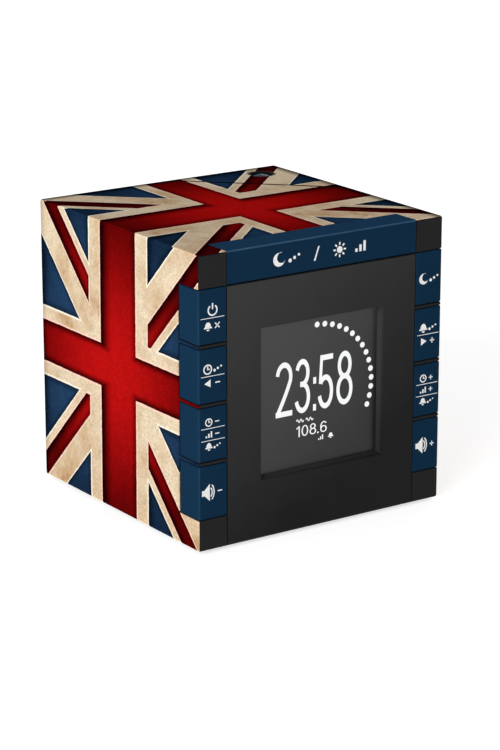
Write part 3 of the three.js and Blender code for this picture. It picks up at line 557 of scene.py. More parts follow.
    def light(self) -> None:
        """Lights the reds. Shadow falls from the back: on a side towards smaller b, on the top larger."""
        add, film = self.add, self.film
        flip = self.by_face((1.0, -1.0))
        self.b_lit = add(TIMES, self.b, flip)
        upper = add(ABOVE, add(TIMES, self.a, flip), 0.0)
        half = film.cross[1]
        arms = (add(PLUS, self.b_lit, half), add(MINUS, half, self.b_lit))
        upright = add(TIMES, *map(self.shade, arms, film.upright_shadows))
        level = self.shade(self.in_level, film.level_shadow)
        first = add(MIX, {0: upper, 2: self.back_across, 3: self.across})
        second = add(MIX, {0: upper, 2: self.across, 3: self.back_across})
        ahead, behind, at_border = map(self.shade, (first, second, self.outside), film.stripe_shadows)
        slanted = add(TIMES, add(TIMES, ahead, behind), at_border)
        roof_stripe = add(RANGE, self.turn, -1.0, 1.0, *film.roof_stripes)
        slanted = add(TIMES, slanted, add(MIX, {0: self.on_top, 2: 1.0, 3: roof_stripe}))
        lift = add(MOST, self.within(self.in_upright, upright), self.within(self.in_level, level))
        self.lift = add(MOST, lift, self.within(self.stripe, slanted))

    def far_edge_darkening(self) -> None:
        """Darkens the print at the back edge and on the top's right one; paints light, most on the top."""
        add, film = self.add, self.film
        self.to_back = add(MINUS, CUBE.half_depth, self.axes[1])
        to_right = add(MINUS, CUBE.half_width, self.axes[0])
        on_roof = add(LEAST, self.to_back, to_right)
        to_far = add(MIX, {0: self.on_top, 2: self.to_back, 3: on_roof})
        spared = add(EASE, to_far, self.by_face(film.far_darkening_start), self.by_face(film.spared), 0.0, 1.0)
        far_edge_darkening = add(RANGE, spared, 0.0, 1.0, self.by_face(film.far_darkening_light), 1.0)
        # Painted light lifts the print a little on the sides and more on the top.
        self.bright = add(TIMES, far_edge_darkening, self.by_face(film.brightness))
        self.lift = add(TIMES, self.lift, add(RANGE, spared, 0.0, 1.0, film.far_darkening_lift, 1.0))

    def inks(self) -> Node:
        """Mixes the cream, the red and the navy.

        Returns:
            A node that gives the print's colour.
        """
        add, film = self.add, self.film
        in_colour = add(MOST, self.in_red, self.in_navy)
        rim = add(EASE, in_colour, *(-mm / self.tall for mm in film.rim), 0.0, self.by_face(film.rim_light))
        by_red = add(ABOVE, self.in_red, self.in_navy)
        rim_tint = add(BLEND, {0: by_red, 6: film.cream_rim, 7: film.blush})
        cream = film.cream
        for share, tint in ((self.stained, film.stain), (self.foxing, film.foxed), (rim, rim_tint)):
            cream = add(BLEND, {0: share, 6: cream, 7: tint})
        heart = add(V_TIMES_PLUS, self.face, film.heart_scale, film.heart_shift)
        out = add(V_LENGTH, add(CHOICE, {0: self.on_top, 4: heart, 5: self.face}))
        rim_out = self.by_face(film.sunk_from)
        sunk = add(EASE, out, film.sunk_red[0], rim_out, 1.0, film.sunk_red[1])
        uneven = add(MINUS, self.blotch, 0.5)
        glow = add(TIMES_PLUS, uneven, film.uneven_red, add(TIMES, sunk, self.lift), use_clamp=True)
        red = add(BLEND, {0: glow, 6: film.red_deep, 7: film.red})
        ahead = add(ABOVE, self.b_lit, 0.0)
        from_rim = add(PLUS, self.b_lit, 0.5)
        from_border = add(MINUS, self.b_lit, film.border[1])
        hollow = add(MIX, {0: ahead, 2: from_rim, 3: from_border})
        calm = add(TIMES, *map(self.shade, (hollow, self.in_navy), film.navy_shadows))
        outer = add(EASE, out, film.sunk_navy[0], rim_out, 1.0, film.sunk_navy[1])
        calm = add(TIMES, calm, outer)
        calm = add(TIMES_PLUS, uneven, film.uneven_navy, calm, use_clamp=True)
        navy = add(BLEND, {0: calm, 6: film.navy_deep, 7: film.navy})
        crisp = film.crisp / self.tall
        printed = cream
        for inside, ink in ((self.in_red, red), (self.in_navy, navy)):
            mask = add(EASE, inside, -crisp, crisp, 0.0, 1.0)
            printed = add(BLEND, {0: mask, 6: printed, 7: ink})
        return add(V_SCALE, {0: printed, "Scale": add(TIMES, self.fleck, self.bright)})

    def end(self, printed: Node) -> Node:
        """Ends the film half way round the front and back edges and just short of the corner's seam.

        It never lines a cut. A point's distance from the cube's corner runs along the diagonal.

        Args:
            printed: The print's colour.

        Returns:
            A node that gives the colour of print and bare plastic.
        """
        add, film = self.add, self.film
        to_front = add(PLUS, self.axes[1], CUBE.half_depth)
        facing = add(ABOVE, add(LEAST, to_front, self.to_back), self.depth)
        outer = add(BELOW, self.depth, film.skin)
        root = 1 / math.sqrt(3)
        reach = (CUBE.half_width + CUBE.half_depth + CUBE.top) * root
        seam = CUBE.corner_leg * root + film.seam_gap / 2
        from_seam = add(MINUS, add(V_DOT, self.mm, (root, root, root)), reach - seam)
        clear = add(ABOVE, add(SIZE, from_seam), film.seam_rim)
        covered = add(TIMES, add(TIMES, facing, outer), clear)
        at_seam = add(MINUS, 1.0, clear)
        ended = add(MOST, CUBE.edge(add, self.axes, film.dark_edge), at_seam)
        bare = add(BLEND, {0: ended, 6: film.bare, 7: film.film_end})
        return add(BLEND, {0: covered, 6: bare, 7: printed})


@dataclass(frozen=True)
class DisplayGlass(Finish):
    """The front of a negative display: clear glass over a dark polariser, smooth with a faint haze.

    The lamp behind it leaks a little; its glow, most towards the upper left, is also a painted
    reflection that evens out the shade inside the window. The grain that rubbing left is drawn coarse
    enough to show.
    """

    deep: str = "#151516"
    pale: str = "#1b1b1c"
    # The glow runs from low to high: the lamp's leak and a painted reflection.
    leak_and_reflection_low: str = "#0f0f0f"
    leak_and_reflection_high: str = "#373738"
    leak_and_reflection: Fade = Fade((18.0, 0.0, 28.0), (-24.5, 0.0, 70.5))
    haze_mm: float = 30.0
    grain_mm: float = 0.6
    roughness: Pair = (0.28, 0.29)
    rubbing: Place = (1.0, 1.0, 0.05)
    grain_share: float = 0.03
    cloud_span: Pair = (0.3, 0.8)
    cloud_light: float = 0.08

    def paint(self, add: Adder, place: Socket) -> Inputs:
        """Glows where the lamp leaks and with a painted reflection, over clouds and a rubbing grain.

        Args:
            add: Adds a node to the tree.
            place: Object coordinates in metres.

        Returns:
            The inputs of the surface.
        """
        haze = add(NOISE, {"Vector": place, "Scale": 1 / (self.haze_mm * MM), "Detail": 2.0})
        rubbed = add(V_TIMES, place, self.rubbing)
        grain = add(NOISE, {"Vector": rubbed, "Scale": 1 / (self.grain_mm * MM), "Detail": 2.0})
        cloud = add(TIMES_PLUS, grain, self.grain_share, haze)
        colour = add(BLEND, {0: cloud, 6: self.deep, 7: self.pale})
        cloud = add(RANGE, cloud, *self.cloud_span, -self.cloud_light, self.cloud_light)
        # Painted light: the glow is the lamp's leak and a painted reflection, brightest at the upper left.
        tone = add(PLUS, self.leak_and_reflection.share(add, place), cloud, use_clamp=True)
        light = add(BLEND, {0: tone, 6: self.leak_and_reflection_low, 7: self.leak_and_reflection_high})
        rough = add(RANGE, grain, *NOISE_SPAN, *self.roughness)
        return {"Base Color": colour, "Roughness": rough, "IOR": 1.52, "Specular IOR Level": 0.25,
                "Emission Color": light, "Emission Strength": 1.0}


@dataclass(frozen=True)
class LitFigure(Finish):
    """A clear segment of the display with the white lamp behind it: even light, a touch uneven."""

    unlit: str = "#101010"
    dimmer: str = "#f4f6f8"
    white: str = "#ffffff"
    glow: float = 0.96
    guide_mm: float = 9.0

    def paint(self, add: Adder, place: Socket) -> Inputs:
        """Lets the light guide's faint unevenness through a white segment.

        Args:
            add: Adds a node to the tree.
            place: Object coordinates in metres.

        Returns:
            The inputs of the surface.
        """
        uneven = add(NOISE, {"Vector": place, "Scale": 1 / (self.guide_mm * MM), "Detail": 1.0})
        light = add(BLEND, {0: uneven, 6: self.dimmer, 7: self.white})
        return {"Base Color": self.unlit, "Roughness": 0.3, "Specular IOR Level": 0.2,
                "Emission Color": light, "Emission Strength": self.glow}


@dataclass(frozen=True)
class PadInk(Finish):
    """White pad-printing ink: thin, satin, with pinholes where the pad lifted.

    The pinholes are drawn so large that they show.
    """

    thin: str = "#eff0f0"
    white: str = "#ffffff"
    pinhole_mm: float = 0.35
    pinhole_span: Pair = (0.28, 0.42)

    def paint(self, add: Adder, place: Socket) -> Inputs:
        """Breaks a warm white with fine pinholes and a slightly ridged film.

        Args:
            add: Adds a node to the tree.
            place: Object coordinates in metres.

        Returns:
            The inputs of the surface.
        """
        film = add(NOISE, {"Vector": place, "Scale": 1 / (self.pinhole_mm * MM), "Detail": 3.0})
        inked = add(RANGE, film, *self.pinhole_span, 0.0, 1.0)
        colour = add(BLEND, {0: inked, 6: self.thin, 7: self.white})
        bump = add(BUMP, {"Strength": 0.3, "Distance": 0.01 * MM, "Height": film})
        return {"Base Color": colour, "Roughness": 0.4, "Normal": bump, "Specular IOR Level": 0.9}


@dataclass(frozen=True)
class WorkedMetal(Finish):
    """Plated, drawn or wound metal: bright, with fine lines along the way it was worked.

    The lines are drawn coarser than real ones, so that they show.
    """

    deep: str
    pale: str
    roughness: float = 0.32
    line_mm: float = 0.4
    stretch: Place = (1.0, 1.0, 0.08)

    def paint(self, add: Adder, place: Socket) -> Inputs:
        """Stretches a noise along the working direction into colour, roughness and bump.

        Args:
            add: Adds a node to the tree.
            place: Object coordinates in metres.

        Returns:
            The inputs of the surface.
        """
        drawn = add(V_TIMES, place, self.stretch)
        streak = add(NOISE, {"Vector": drawn, "Scale": 1 / (self.line_mm * MM), "Detail": 4.0})
        colour = add(BLEND, {0: streak, 6: self.deep, 7: self.pale})
        rough = add(RANGE, streak, *NOISE_SPAN, self.roughness - 0.08, self.roughness + 0.1)
        bump = add(BUMP, {"Strength": 0.25, "Distance": 0.01 * MM, "Height": streak})
        return {"Base Color": colour, "Metallic": 1.0, "Roughness": rough, "Normal": bump}


@dataclass(frozen=True)
class ContactSocket(Finish):
    """A moulded power socket round a nickel pin, told apart by the distance from the pin's axis."""

    axis_x: float
    axis_z: float
    deep: str = "#121213"
    pale: str = "#1b1b1c"
    nickel: str = "#b9b7b0"
    pin_mm: float = 1.3
    grit_mm: float = 0.5

    def paint(self, add: Adder, place: Socket) -> Inputs:
        """Turns the moulded black to bright nickel inside the pin's radius.

        Args:
            add: Adds a node to the tree.
            place: Object coordinates in metres.

        Returns:
            The inputs of the surface.
        """
        centred = add(V_MINUS, place, (self.axis_x, 0.0, self.axis_z))
        radius = add(V_LENGTH, add(V_TIMES, centred, (1.0, 0.0, 1.0)))
        pin = add(BELOW, radius, self.pin_mm * MM)
        grit = add(NOISE, {"Vector": place, "Scale": 1 / (self.grit_mm * MM), "Detail": 2.0})
        body = add(BLEND, {0: grit, 6: self.deep, 7: self.pale})
        colour = add(BLEND, {0: pin, 6: body, 7: self.nickel})
        rough = add(RANGE, pin, 0.0, 1.0, 0.55, 0.28)
        bump = add(BUMP, {"Strength": 0.3, "Distance": 0.02 * MM, "Height": grit})
        return {"Base Color": colour, "Metallic": pin, "Roughness": rough, "Normal": bump}


@dataclass(frozen=True)
class LensGlass(Finish):
    """Ground and polished glass with a slate-blue bloom from its anti-reflection coating.

    The coating keeps the glass from mirroring the room, so its index is set low.
    """

    tint: str = "#5d6a80"
    bloom: str = "#1f2739"
    coating_mm: float = 6.0

    def paint(self, add: Adder, place: Socket) -> Inputs:
        """Clear glass whose coating shows as a faint bluish film, uneven by a hair.

        Args:
            add: Adds a node to the tree.
            place: Object coordinates in metres.

        Returns:
            The inputs of the surface.
        """
        film = add(NOISE, {"Vector": place, "Scale": 1 / (self.coating_mm * MM), "Detail": 1.0})
        colour = add(BLEND, {0: film, 6: self.tint, 7: self.bloom})
        return {"Base Color": colour, "Roughness": 0.04, "IOR": 1.2, "Transmission Weight": 0.25,
                "Specular IOR Level": 0.0}


@dataclass(frozen=True)
class LaminateBoard(Finish):
    """Glass-epoxy board under green solder mask: paler copper tracks show through as lines."""

    mask: str = "#1d5a34"
    track: str = "#2f7a48"
    pitch_mm: float = 2.54
    track_span: Pair = (0.30, 0.36)

    def paint(self, add: Adder, place: Socket) -> Inputs:
        """Draws square cells of tracks on the board's pitch, under a glossy mask.

        Args:
            add: Adds a node to the tree.
            place: Object coordinates in metres.

        Returns:
            The inputs of the surface.
        """
        cell = add("ShaderNodeTexVoronoi", {"Vector": place, "Scale": 1 / (2 * self.pitch_mm * MM)},
                   feature="F1", distance="CHEBYCHEV")
        track = add(RANGE, cell, *self.track_span, 0.0, 1.0)
        colour = add(BLEND, {0: track, 6: self.mask, 7: self.track})
        bump = add(BUMP, {"Strength": 0.4, "Distance": 0.03 * MM, "Height": track})
        return {"Base Color": colour, "Roughness": 0.35, "Normal": bump}


@dataclass(frozen=True)
class RibbedFinish(Finish):
    """A surface with even lines across it, such as flat cable cores or the fibres of a paper cone."""

    deep: str
    pale: str
    line_mm: float
    direction: str = "X"
    roughness: float = 0.7

    def paint(self, add: Adder, place: Socket) -> Inputs:
        """Runs a sine of the given spacing across the surface into colour and bump.

        Args:
            add: Adds a node to the tree.
            place: Object coordinates in metres.

        Returns:
            The inputs of the surface.
        """
        # A wave texture repeats every 2 pi / 20 of its scale.
        scale = 2 * math.pi / (20 * self.line_mm * MM)
        rib = add("ShaderNodeTexWave", {"Vector": place, "Scale": scale, "Distortion": 0.6},
                  bands_direction=self.direction)
        colour = add(BLEND, {0: rib, 6: self.deep, 7: self.pale})
        bump = add(BUMP, {"Strength": 0.4, "Distance": 0.05 * MM, "Height": rib})
        return {"Base Color": colour, "Roughness": self.roughness, "Normal": bump}


# Moulded rubber: a dull black with a coarse grit that hardly shines.
FOOT_RUBBER = MouldedPlastic(
    "moulded_rubber", "rubber", "#141415", "#232324", roughness=0.85, gloss=0.2, grit_mm=0.9,
    relief_mm=0.05)
# Dark ABS of the front: a soft sheen, with a painted sheen that pales it towards the upper left
# and painted light that pales the walls inside the window.
CHARCOAL_ABS = MouldedPlastic(
    "charcoal_abs", "charcoal_plastic", "#151516", "#3b3b3c", roughness=0.42, gloss=0.08, grit_mm=0.6,
    painted_light_fades=((Fade((8.0, 0.0, 16.0), (-38.5, 0.0, 86.0)), 1.0),
           (Fade((0.0, -49.7, 0.0), (0.0, -48.9, 0.0)), 0.42)))
# Navy ABS of the keys: matt, with edges rubbed paler that also serve as a painted highlight, and
# painted light that makes the top of the snooze bar paler.
NAVY_ABS = MouldedPlastic(
    "navy_abs", "navy_plastic", "#153149", "#1f405e", roughness=0.46, gloss=0.0, grit_mm=0.55,
    rubbed="#53799b", painted_light_fades=((Fade((0.0, 0.0, 101.6), (0.0, 0.0, 102.15)), 1.0),))
# Printed ABS of the case and the corner: an old flag under a matt varnish.
PRINT = PrintedFilm("aged_flag_print_on_abs", "printed_plastic")
# Black ABS of covers and switches: an even grit with a faint shine.
BLACK_ABS = MouldedPlastic(
    "black_abs", "black_plastic", "#131314", "#1f1f20", roughness=0.58, gloss=0.25, grit_mm=0.7,
    relief_mm=0.04)
# Matt acetal of the focus barrel: nearly black, so that it swallows stray light.
LENS_BLACK = MouldedPlastic(
    "matt_black_acetal", "black_plastic", "#0b0b0c", "#161618", roughness=0.4, gloss=0.02, grit_mm=0.4)
# Sintered ferrite: a brownish grey with a dull stony shine.
FERRITE = MouldedPlastic(
    "sintered_ferrite", "ferrite", "#24211f", "#383431", roughness=0.62, gloss=0.4, grit_mm=0.8,
    relief_mm=0.05)
# Opal acrylic of lamp and light guide: milky white.
GUIDE = MouldedPlastic(
    "opal_acrylic", "light_guide", "#dfe5e6", "#f4f6f5", roughness=0.3, gloss=0.5, grit_mm=1.2)
# Display glass: a dark, hazy pane whose glow is partly a painted reflection.
GLASS = DisplayGlass("display_glass_over_polariser", "display_glass")
# Lit segments: an even white glow.
LIT = LitFigure("lit_display_figure", "display_glass")
# Pad ink of the signs: a satin white.
INK = PadInk("white_pad_ink", "navy_plastic")
# Zinc-plated steel of screws and springs: bright grey with fine lines.
STEEL = WorkedMetal("zinc_plated_steel", "steel", "#8b8d90", "#c3c5c7")
# Tinned sheet of cans and frames: paler than zinc and softer in its shine.
TIN = WorkedMetal("tinned_steel_sheet", "steel", "#a3a5a7", "#cfd1d2", roughness=0.4, line_mm=0.9)
# Enamelled wire: reddish brown turns that run round the rod.
COPPER = WorkedMetal(
    "enamelled_copper_wire", "copper_wire", "#7c3d19", "#c67a43", line_mm=0.35, stretch=(1.0, 0.05, 0.05))
# Coated lens glass: a dark pane with a slate-blue bloom.
LENS = LensGlass("coated_lens_glass", "lens_glass")
# Masked glass epoxy: glossy green with paler tracks.
BOARD = LaminateBoard("masked_glass_epoxy", "circuit_board")
# Flat cable: a grey ridge for every core.
RIBBON = RibbedFinish("grey_flat_cable", "flat_cable", "#8d9195", "#c4c7ca", line_mm=1.27)
# Pressed cone paper: a dull black with fine rings.
PAPER = RibbedFinish(
    "pressed_cone_paper", "cone_paper", "#1d1c1b", "#343230", line_mm=1.6, direction="Z", roughness=0.9)


def closed_mesh(name: str, points: np.ndarray, quads: np.ndarray, smooth: bool) -> bpy.types.Object:
    """Makes an object from points and quads and turns its faces outward.

    The signed volume is the sum of every face's fan of tetrahedra from the middle. Points that
    coincide, as at a pole, are merged.

    Args:
        name: Name of the object and its mesh.
        points: Array of n x 3 places in metres.
        quads: Array of point numbers, four a face.
        smooth: Whether the faces are shaded smoothly.

    Returns:
        The object, linked to the scene and placed at the origin.
    """
    corner = (points - points.mean(axis=0))[quads]
    volume = sum(np.einsum("ij,ij->i", corner[:, 0], np.cross(corner[:, i], corner[:, i + 1]))
                 for i in (1, 2)).sum()
    if volume < 0:
        quads = quads[:, ::-1]
    mesh = bpy.data.meshes.new(name)
    mesh.from_pydata(points.tolist(), [], quads.tolist())
    mesh.validate()
    work = bmesh.new()
    work.from_mesh(mesh)
    bmesh.ops.remove_doubles(work, verts=work.verts, dist=SAME_PLACE)
    work.to_mesh(mesh)
    work.free()
    mesh.polygons.foreach_set("use_smooth", np.full(len(mesh.polygons), smooth))
    mesh.update()
    made = bpy.data.objects.new(name, mesh)
    bpy.context.scene.collection.objects.link(made)
    return made


def lattice(rows: int, columns: int, wrap_rows: bool = False, wrap_columns: bool = False) -> np.ndarray:
    """Quads of a grid of points.

    Args:
        rows: Points along the first parameter.
        columns: Points along the second.
        wrap_rows: Whether the last row joins the first.
        wrap_columns: Whether the last column joins the first.

    Returns:
        Array of quads as point numbers.
    """
    i, j = np.meshgrid(np.arange(rows if wrap_rows else rows - 1),
                       np.arange(columns if wrap_columns else columns - 1), indexing="ij")
    i1, j1 = (i + 1) % rows, (j + 1) % columns
    quads = np.stack([i * columns + j, i1 * columns + j, i1 * columns + j1, i * columns + j1], axis=-1)
    return quads.reshape(-1, 4)


def span(node: str) -> tuple[Vector, Vector, list[float]]:
    """Measures a node of the frame.

    Args:
        node: Name of the node.

    Returns:
        Its lowest corner, its highest corner and the middle between them, in metres.
    """
    low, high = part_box(node)
    return low, high, [(a + b) / 2 for a, b in zip(low, high)]


def turned_piece(name: str, radius: np.ndarray, height: np.ndarray, count: int, centre: Sequence[float],
                 axis: Sequence[float] = (0, 0, 1)) -> bpy.types.Object:
    """A surface of revolution whose radius and height may change with the angle.

    A point at row i and angle t is centre + radius[i, t] (cos t U + sin t V) + height[i, t] axis.

    Args:
        name: Name of the piece.
        radius: Array of rows x angles, or of rows x 1 for a round piece, in metres.
        height: Array of either shape.
        count: Number of angles.
        centre: Foot of the axis.
        axis: Direction in which height runs.

    Returns:
        The closed piece.
    """
    angle = np.linspace(0.0, 2 * math.pi, count, endpoint=False)
    up = np.array(Vector(axis).normalized())
    side = np.array(Vector(axis).orthogonal().normalized())
    other = np.cross(up, side)
    spoke = np.cos(angle)[:, None] * side + np.sin(angle)[:, None] * other
    points = np.array(centre) + radius[..., None] * spoke + height[..., None] * up
    return closed_mesh(name, points.reshape(-1, 3), lattice(len(radius), count, wrap_columns=True), True)


def rounded(corners: Sequence[Pair], fillet: float, steps: int = 5) -> np.ndarray:
    """A profile with every inner corner rounded by a quadratic curve.

    Each corner P between two neighbours becomes the curve (1-s)^2 P0 + 2 s (1-s) P + s^2 P1, whose
    ends P0 and P1 lie one fillet, or at most two fifths of the edge, away from P.

    Args:
        corners: Radius and height of each corner in millimetres.
        fillet: Length cut off each edge in millimetres.
        steps: Points on each curve.

    Returns:
        Array of n x 2 points in metres.
    """
    p = np.array(corners, float)
    ends = []
    for edge in (p[:-2] - p[1:-1], p[2:] - p[1:-1]):
        length = np.linalg.norm(edge, axis=1, keepdims=True)
        ends.append(p[1:-1] + edge / length * np.minimum(fillet, 0.4 * length))
    s = np.linspace(0.0, 1.0, steps)[None, :, None]
    curve = (1 - s) ** 2 * ends[0][:, None] + 2 * s * (1 - s) * p[1:-1][:, None] + s ** 2 * ends[1][:, None]
    return np.vstack([p[:1], curve.reshape(-1, 2), p[-1:]]) * MM


@dataclass
class Strip:
    """A flat shape ruled between two edges: a point at u, v is (1 - v) first(u) + v second(u)."""

    first: np.ndarray
    second: np.ndarray
    closed: bool = False

    def placed(self, u: float, v: float, scale: Pair = (1.0, 1.0)) -> "Strip":
        """Returns the strip scaled about its own origin and then moved by u and v."""
        grow, shift = np.array(scale), np.array((u, v))
        return Strip(self.first * grow + shift, self.second * grow + shift, self.closed)


def arc(u: float, v: float, radii: Pair, start: float, end: float, count: int = 33) -> np.ndarray:
    """Points on an ellipse about u, v from one angle in degrees to another."""
    angle = np.radians(np.linspace(start, end, count))
    return np.stack([u + radii[0] * np.cos(angle), v + radii[1] * np.sin(angle)], axis=-1)


def line(*points: Pair) -> np.ndarray:
    """A path straight from point to point."""
    return np.array(points, float)


def stroke(path: np.ndarray, width: float, closed: bool = False) -> Strip:
    """A line of even width: both edges are the path moved by half the width along its normal.

    Args:
        path: Points of the middle line. A closed one doesn't repeat its first point.
        width: Width of the line.
        closed: Whether the path joins up.

    Returns:
        The strip between the two edges.
    """
    if closed:
        tangent = np.roll(path, -1, axis=0) - np.roll(path, 1, axis=0)
    else:
        tangent = np.gradient(path, axis=0)
    tangent = tangent / np.linalg.norm(tangent, axis=1, keepdims=True)
    normal = np.stack([-tangent[:, 1], tangent[:, 0]], axis=-1)
    return Strip(path + normal * width / 2, path - normal * width / 2, closed)


def bar(start: Pair, end: Pair, width: float) -> Strip:
    """A straight stroke."""
    return stroke(line(start, end), width)


def loop(u: float, v: float, radii: Pair, width: float, end: float = 352, count: int = 46) -> Strip:
    """A closed stroke round an ellipse about u, v, whose last point lies at the angle end."""
    return stroke(arc(u, v, radii, 0, end, count), width, closed=True)


def disc(u: float, v: float, radius: float) -> Strip:
    """A round dot between its upper and its lower half circle."""
    return Strip(*(arc(u, v, (radius, radius), 180, end, 17) for end in (0, 360)))


def block(left: float, low: float, right: float, high: float) -> Strip:
    """A rectangle between its lower and its upper side."""
    return Strip(line((left, low), (right, low)), line((left, high), (right, high)))


def pads(name: str, strips: Iterable[Strip], origin: Sequence[float], thickness: float) -> bpy.types.Object:
    """Lays flat strips on an upright plane that faces the front, as thin closed pads.

    A strip's cross-section is a box of four points, carried along its two edges; open strips get an
    end face at each end. A strip that is ruled the other way round has its faces turned.

    Args:
        name: Name of the piece.
        strips: Shapes in millimetres, u to the right and v up.
        origin: Place of u = v = 0 on the plane, in metres.
        thickness: How far the pads stand proud towards the front, in metres.

    Returns:
        One object that holds all the pads.
    """
    points, faces, used = [], [], 0
    for strip in strips:
        rows = len(strip.first)
        half = rows // 2
        ring = np.zeros((rows, 4, 3))
        for columns, edge in (([0, 3], strip.first), ([1, 2], strip.second)):
            ring[:, columns, 0], ring[:, columns, 2] = edge[:, :1] * MM, edge[:, 1:] * MM
        ring[:, :2, 1] = -thickness
        quads = lattice(rows, 4, wrap_rows=strip.closed, wrap_columns=True)
        if not strip.closed:
            last = 4 * (rows - 1)
            quads = np.vstack([quads, [[3, 2, 1, 0]], [[last, last + 1, last + 2, last + 3]]])
        across = strip.second - strip.first
        middle = strip.first + strip.second
        side = across[0] + across[half]
        ahead = middle[1] - middle[0] + middle[half] - middle[half - 1]
        if ahead[0] * side[1] - ahead[1] * side[0] > 0:
            quads = quads[:, ::-1]
        points.append(ring.reshape(-1, 3))
        faces.append(quads + used)
        used += 4 * rows
    return closed_mesh(name, np.vstack(points) + np.array(origin), np.vstack(faces), False)


class Mark(Enum):
    """Signs that the keys and the display carry."""

    POWER = "power"
    BELL = "bell"
    CROSS = "cross"
    CLOCK = "clock"
    MOON = "moon"
    SUN = "sun"
    DOTS = "dots"
    BACK = "back"
    AHEAD = "ahead"
    MINUS = "minus"
    PLUS = "plus"
    STEPS = "steps"
    SLASH = "slash"
    WAVE = "wave"
    SPEAKER = "speaker"


@dataclass(frozen=True)
class MarkSet:
    """Draws the signs as strips about their own middle, in millimetres."""

    weight: float = 0.4

    def bell(self) -> list[Strip]:
        """A bell: a broad round dome on a flat rim, and a clapper that shows under a narrow gap.

        Returns:
            Its strips.
        """
        dome = Strip(*(arc(0.0, -0.3, (1.1, 1.6), start, 90, 17) for start in (180, 0)))
        clapper = Strip(*(arc(0.0, -0.98, (0.55, 0.48), start, 270, 9) for start in (180, 360)))
        return [dome, block(-1.5, -0.72, 1.5, -0.28), clapper]

    def speaker(self) -> list[Strip]:
        """A loudspeaker: its box, its flared cone and two sound waves.

        Returns:
            Its strips.
        """
        cone = Strip(line((-1.6, -0.95), (0.4, -2.9)), line((-1.6, 0.95), (0.4, 2.9)))
        waves = [stroke(arc(-0.2, 0.0, (r, 1.5 * r), -58, 58, 21), 0.42) for r in (1.15, 1.9)]
        return [block(-2.6, -0.95, -1.6, 0.95), cone, *(wave.placed(0.35, 0.0) for wave in waves)]

    def sun(self) -> list[Strip]:
        """A lamp's disc with eight rays that point away from its middle.

        Returns:
            Its strips.
        """
        turn = np.arange(8) * 2 * math.pi / 8
        ways = np.stack([np.cos(turn), np.sin(turn)], axis=-1)
        return [disc(0, 0, 0.72), *(bar(1.02 * way, 1.62 * way, self.weight) for way in ways)]

    def wave(self) -> list[Strip]:
        """Two periods of a sine."""
        u = np.linspace(-1.5, 1.5, 41)
        return [stroke(np.stack([u, 0.5 * np.sin(np.linspace(0.0, 4 * math.pi, 41))], axis=-1), self.weight)]

    def strips(self, mark: Mark) -> list[Strip]:
        """Returns the strips of one sign.

        Args:
            mark: The sign.

        Returns:
            Its strips about its middle.
        """
        w, tip = self.weight, 0.85
        ways = {
            Mark.POWER: lambda: [stroke(arc(0, -0.1, (1.3, 1.3), 125, 415), w), bar((0, 0.1), (0, 1.7), w)],
            Mark.BELL: self.bell,
            Mark.CROSS: lambda: [bar((-tip, -tip), (tip, tip), w), bar((-tip, tip), (tip, -tip), w)],
            Mark.CLOCK: lambda: [
                loop(0, 0, (1.3, 1.3), w, 350, 36), bar((0, -0.2), (0, 0.95), w), bar((0, 0), (0.75, 0), w)],
            Mark.MOON: lambda: [
                Strip(arc(0, 0, (1.45, 1.45), 70, 340, 41), arc(0.65, 0.38, (1.15, 1.15), 84, 326, 41))],
            Mark.SUN: self.sun,
            Mark.DOTS: lambda: [disc(-1.1 + 1.1 * i, -0.55 + 0.5 * i, 0.42 - 0.06 * i) for i in range(3)],
            Mark.BACK: lambda: [Strip(*(line((-1.3, 0), (0.9, v)) for v in (1.2, -1.2)))],
            Mark.AHEAD: lambda: [Strip(*(line((-0.9, v), (1.3, 0)) for v in (1.2, -1.2)))],
            Mark.MINUS: lambda: [bar((-tip, 0), (tip, 0), w)],
            Mark.PLUS: lambda: [bar((-tip, 0), (tip, 0), w), bar((0, -tip), (0, tip), w)],
            Mark.STEPS: lambda: [block(u, -1.1, u + 0.62, top)
                                 for u, top in ((-1.36, -0.4), (-0.31, 0.35), (0.74, 1.1))],
            Mark.SLASH: lambda: [bar((-0.55, -1.5), (0.55, 1.5), w)],
            Mark.WAVE: self.wave,
            Mark.SPEAKER: self.speaker,
        }
        return ways[mark]()


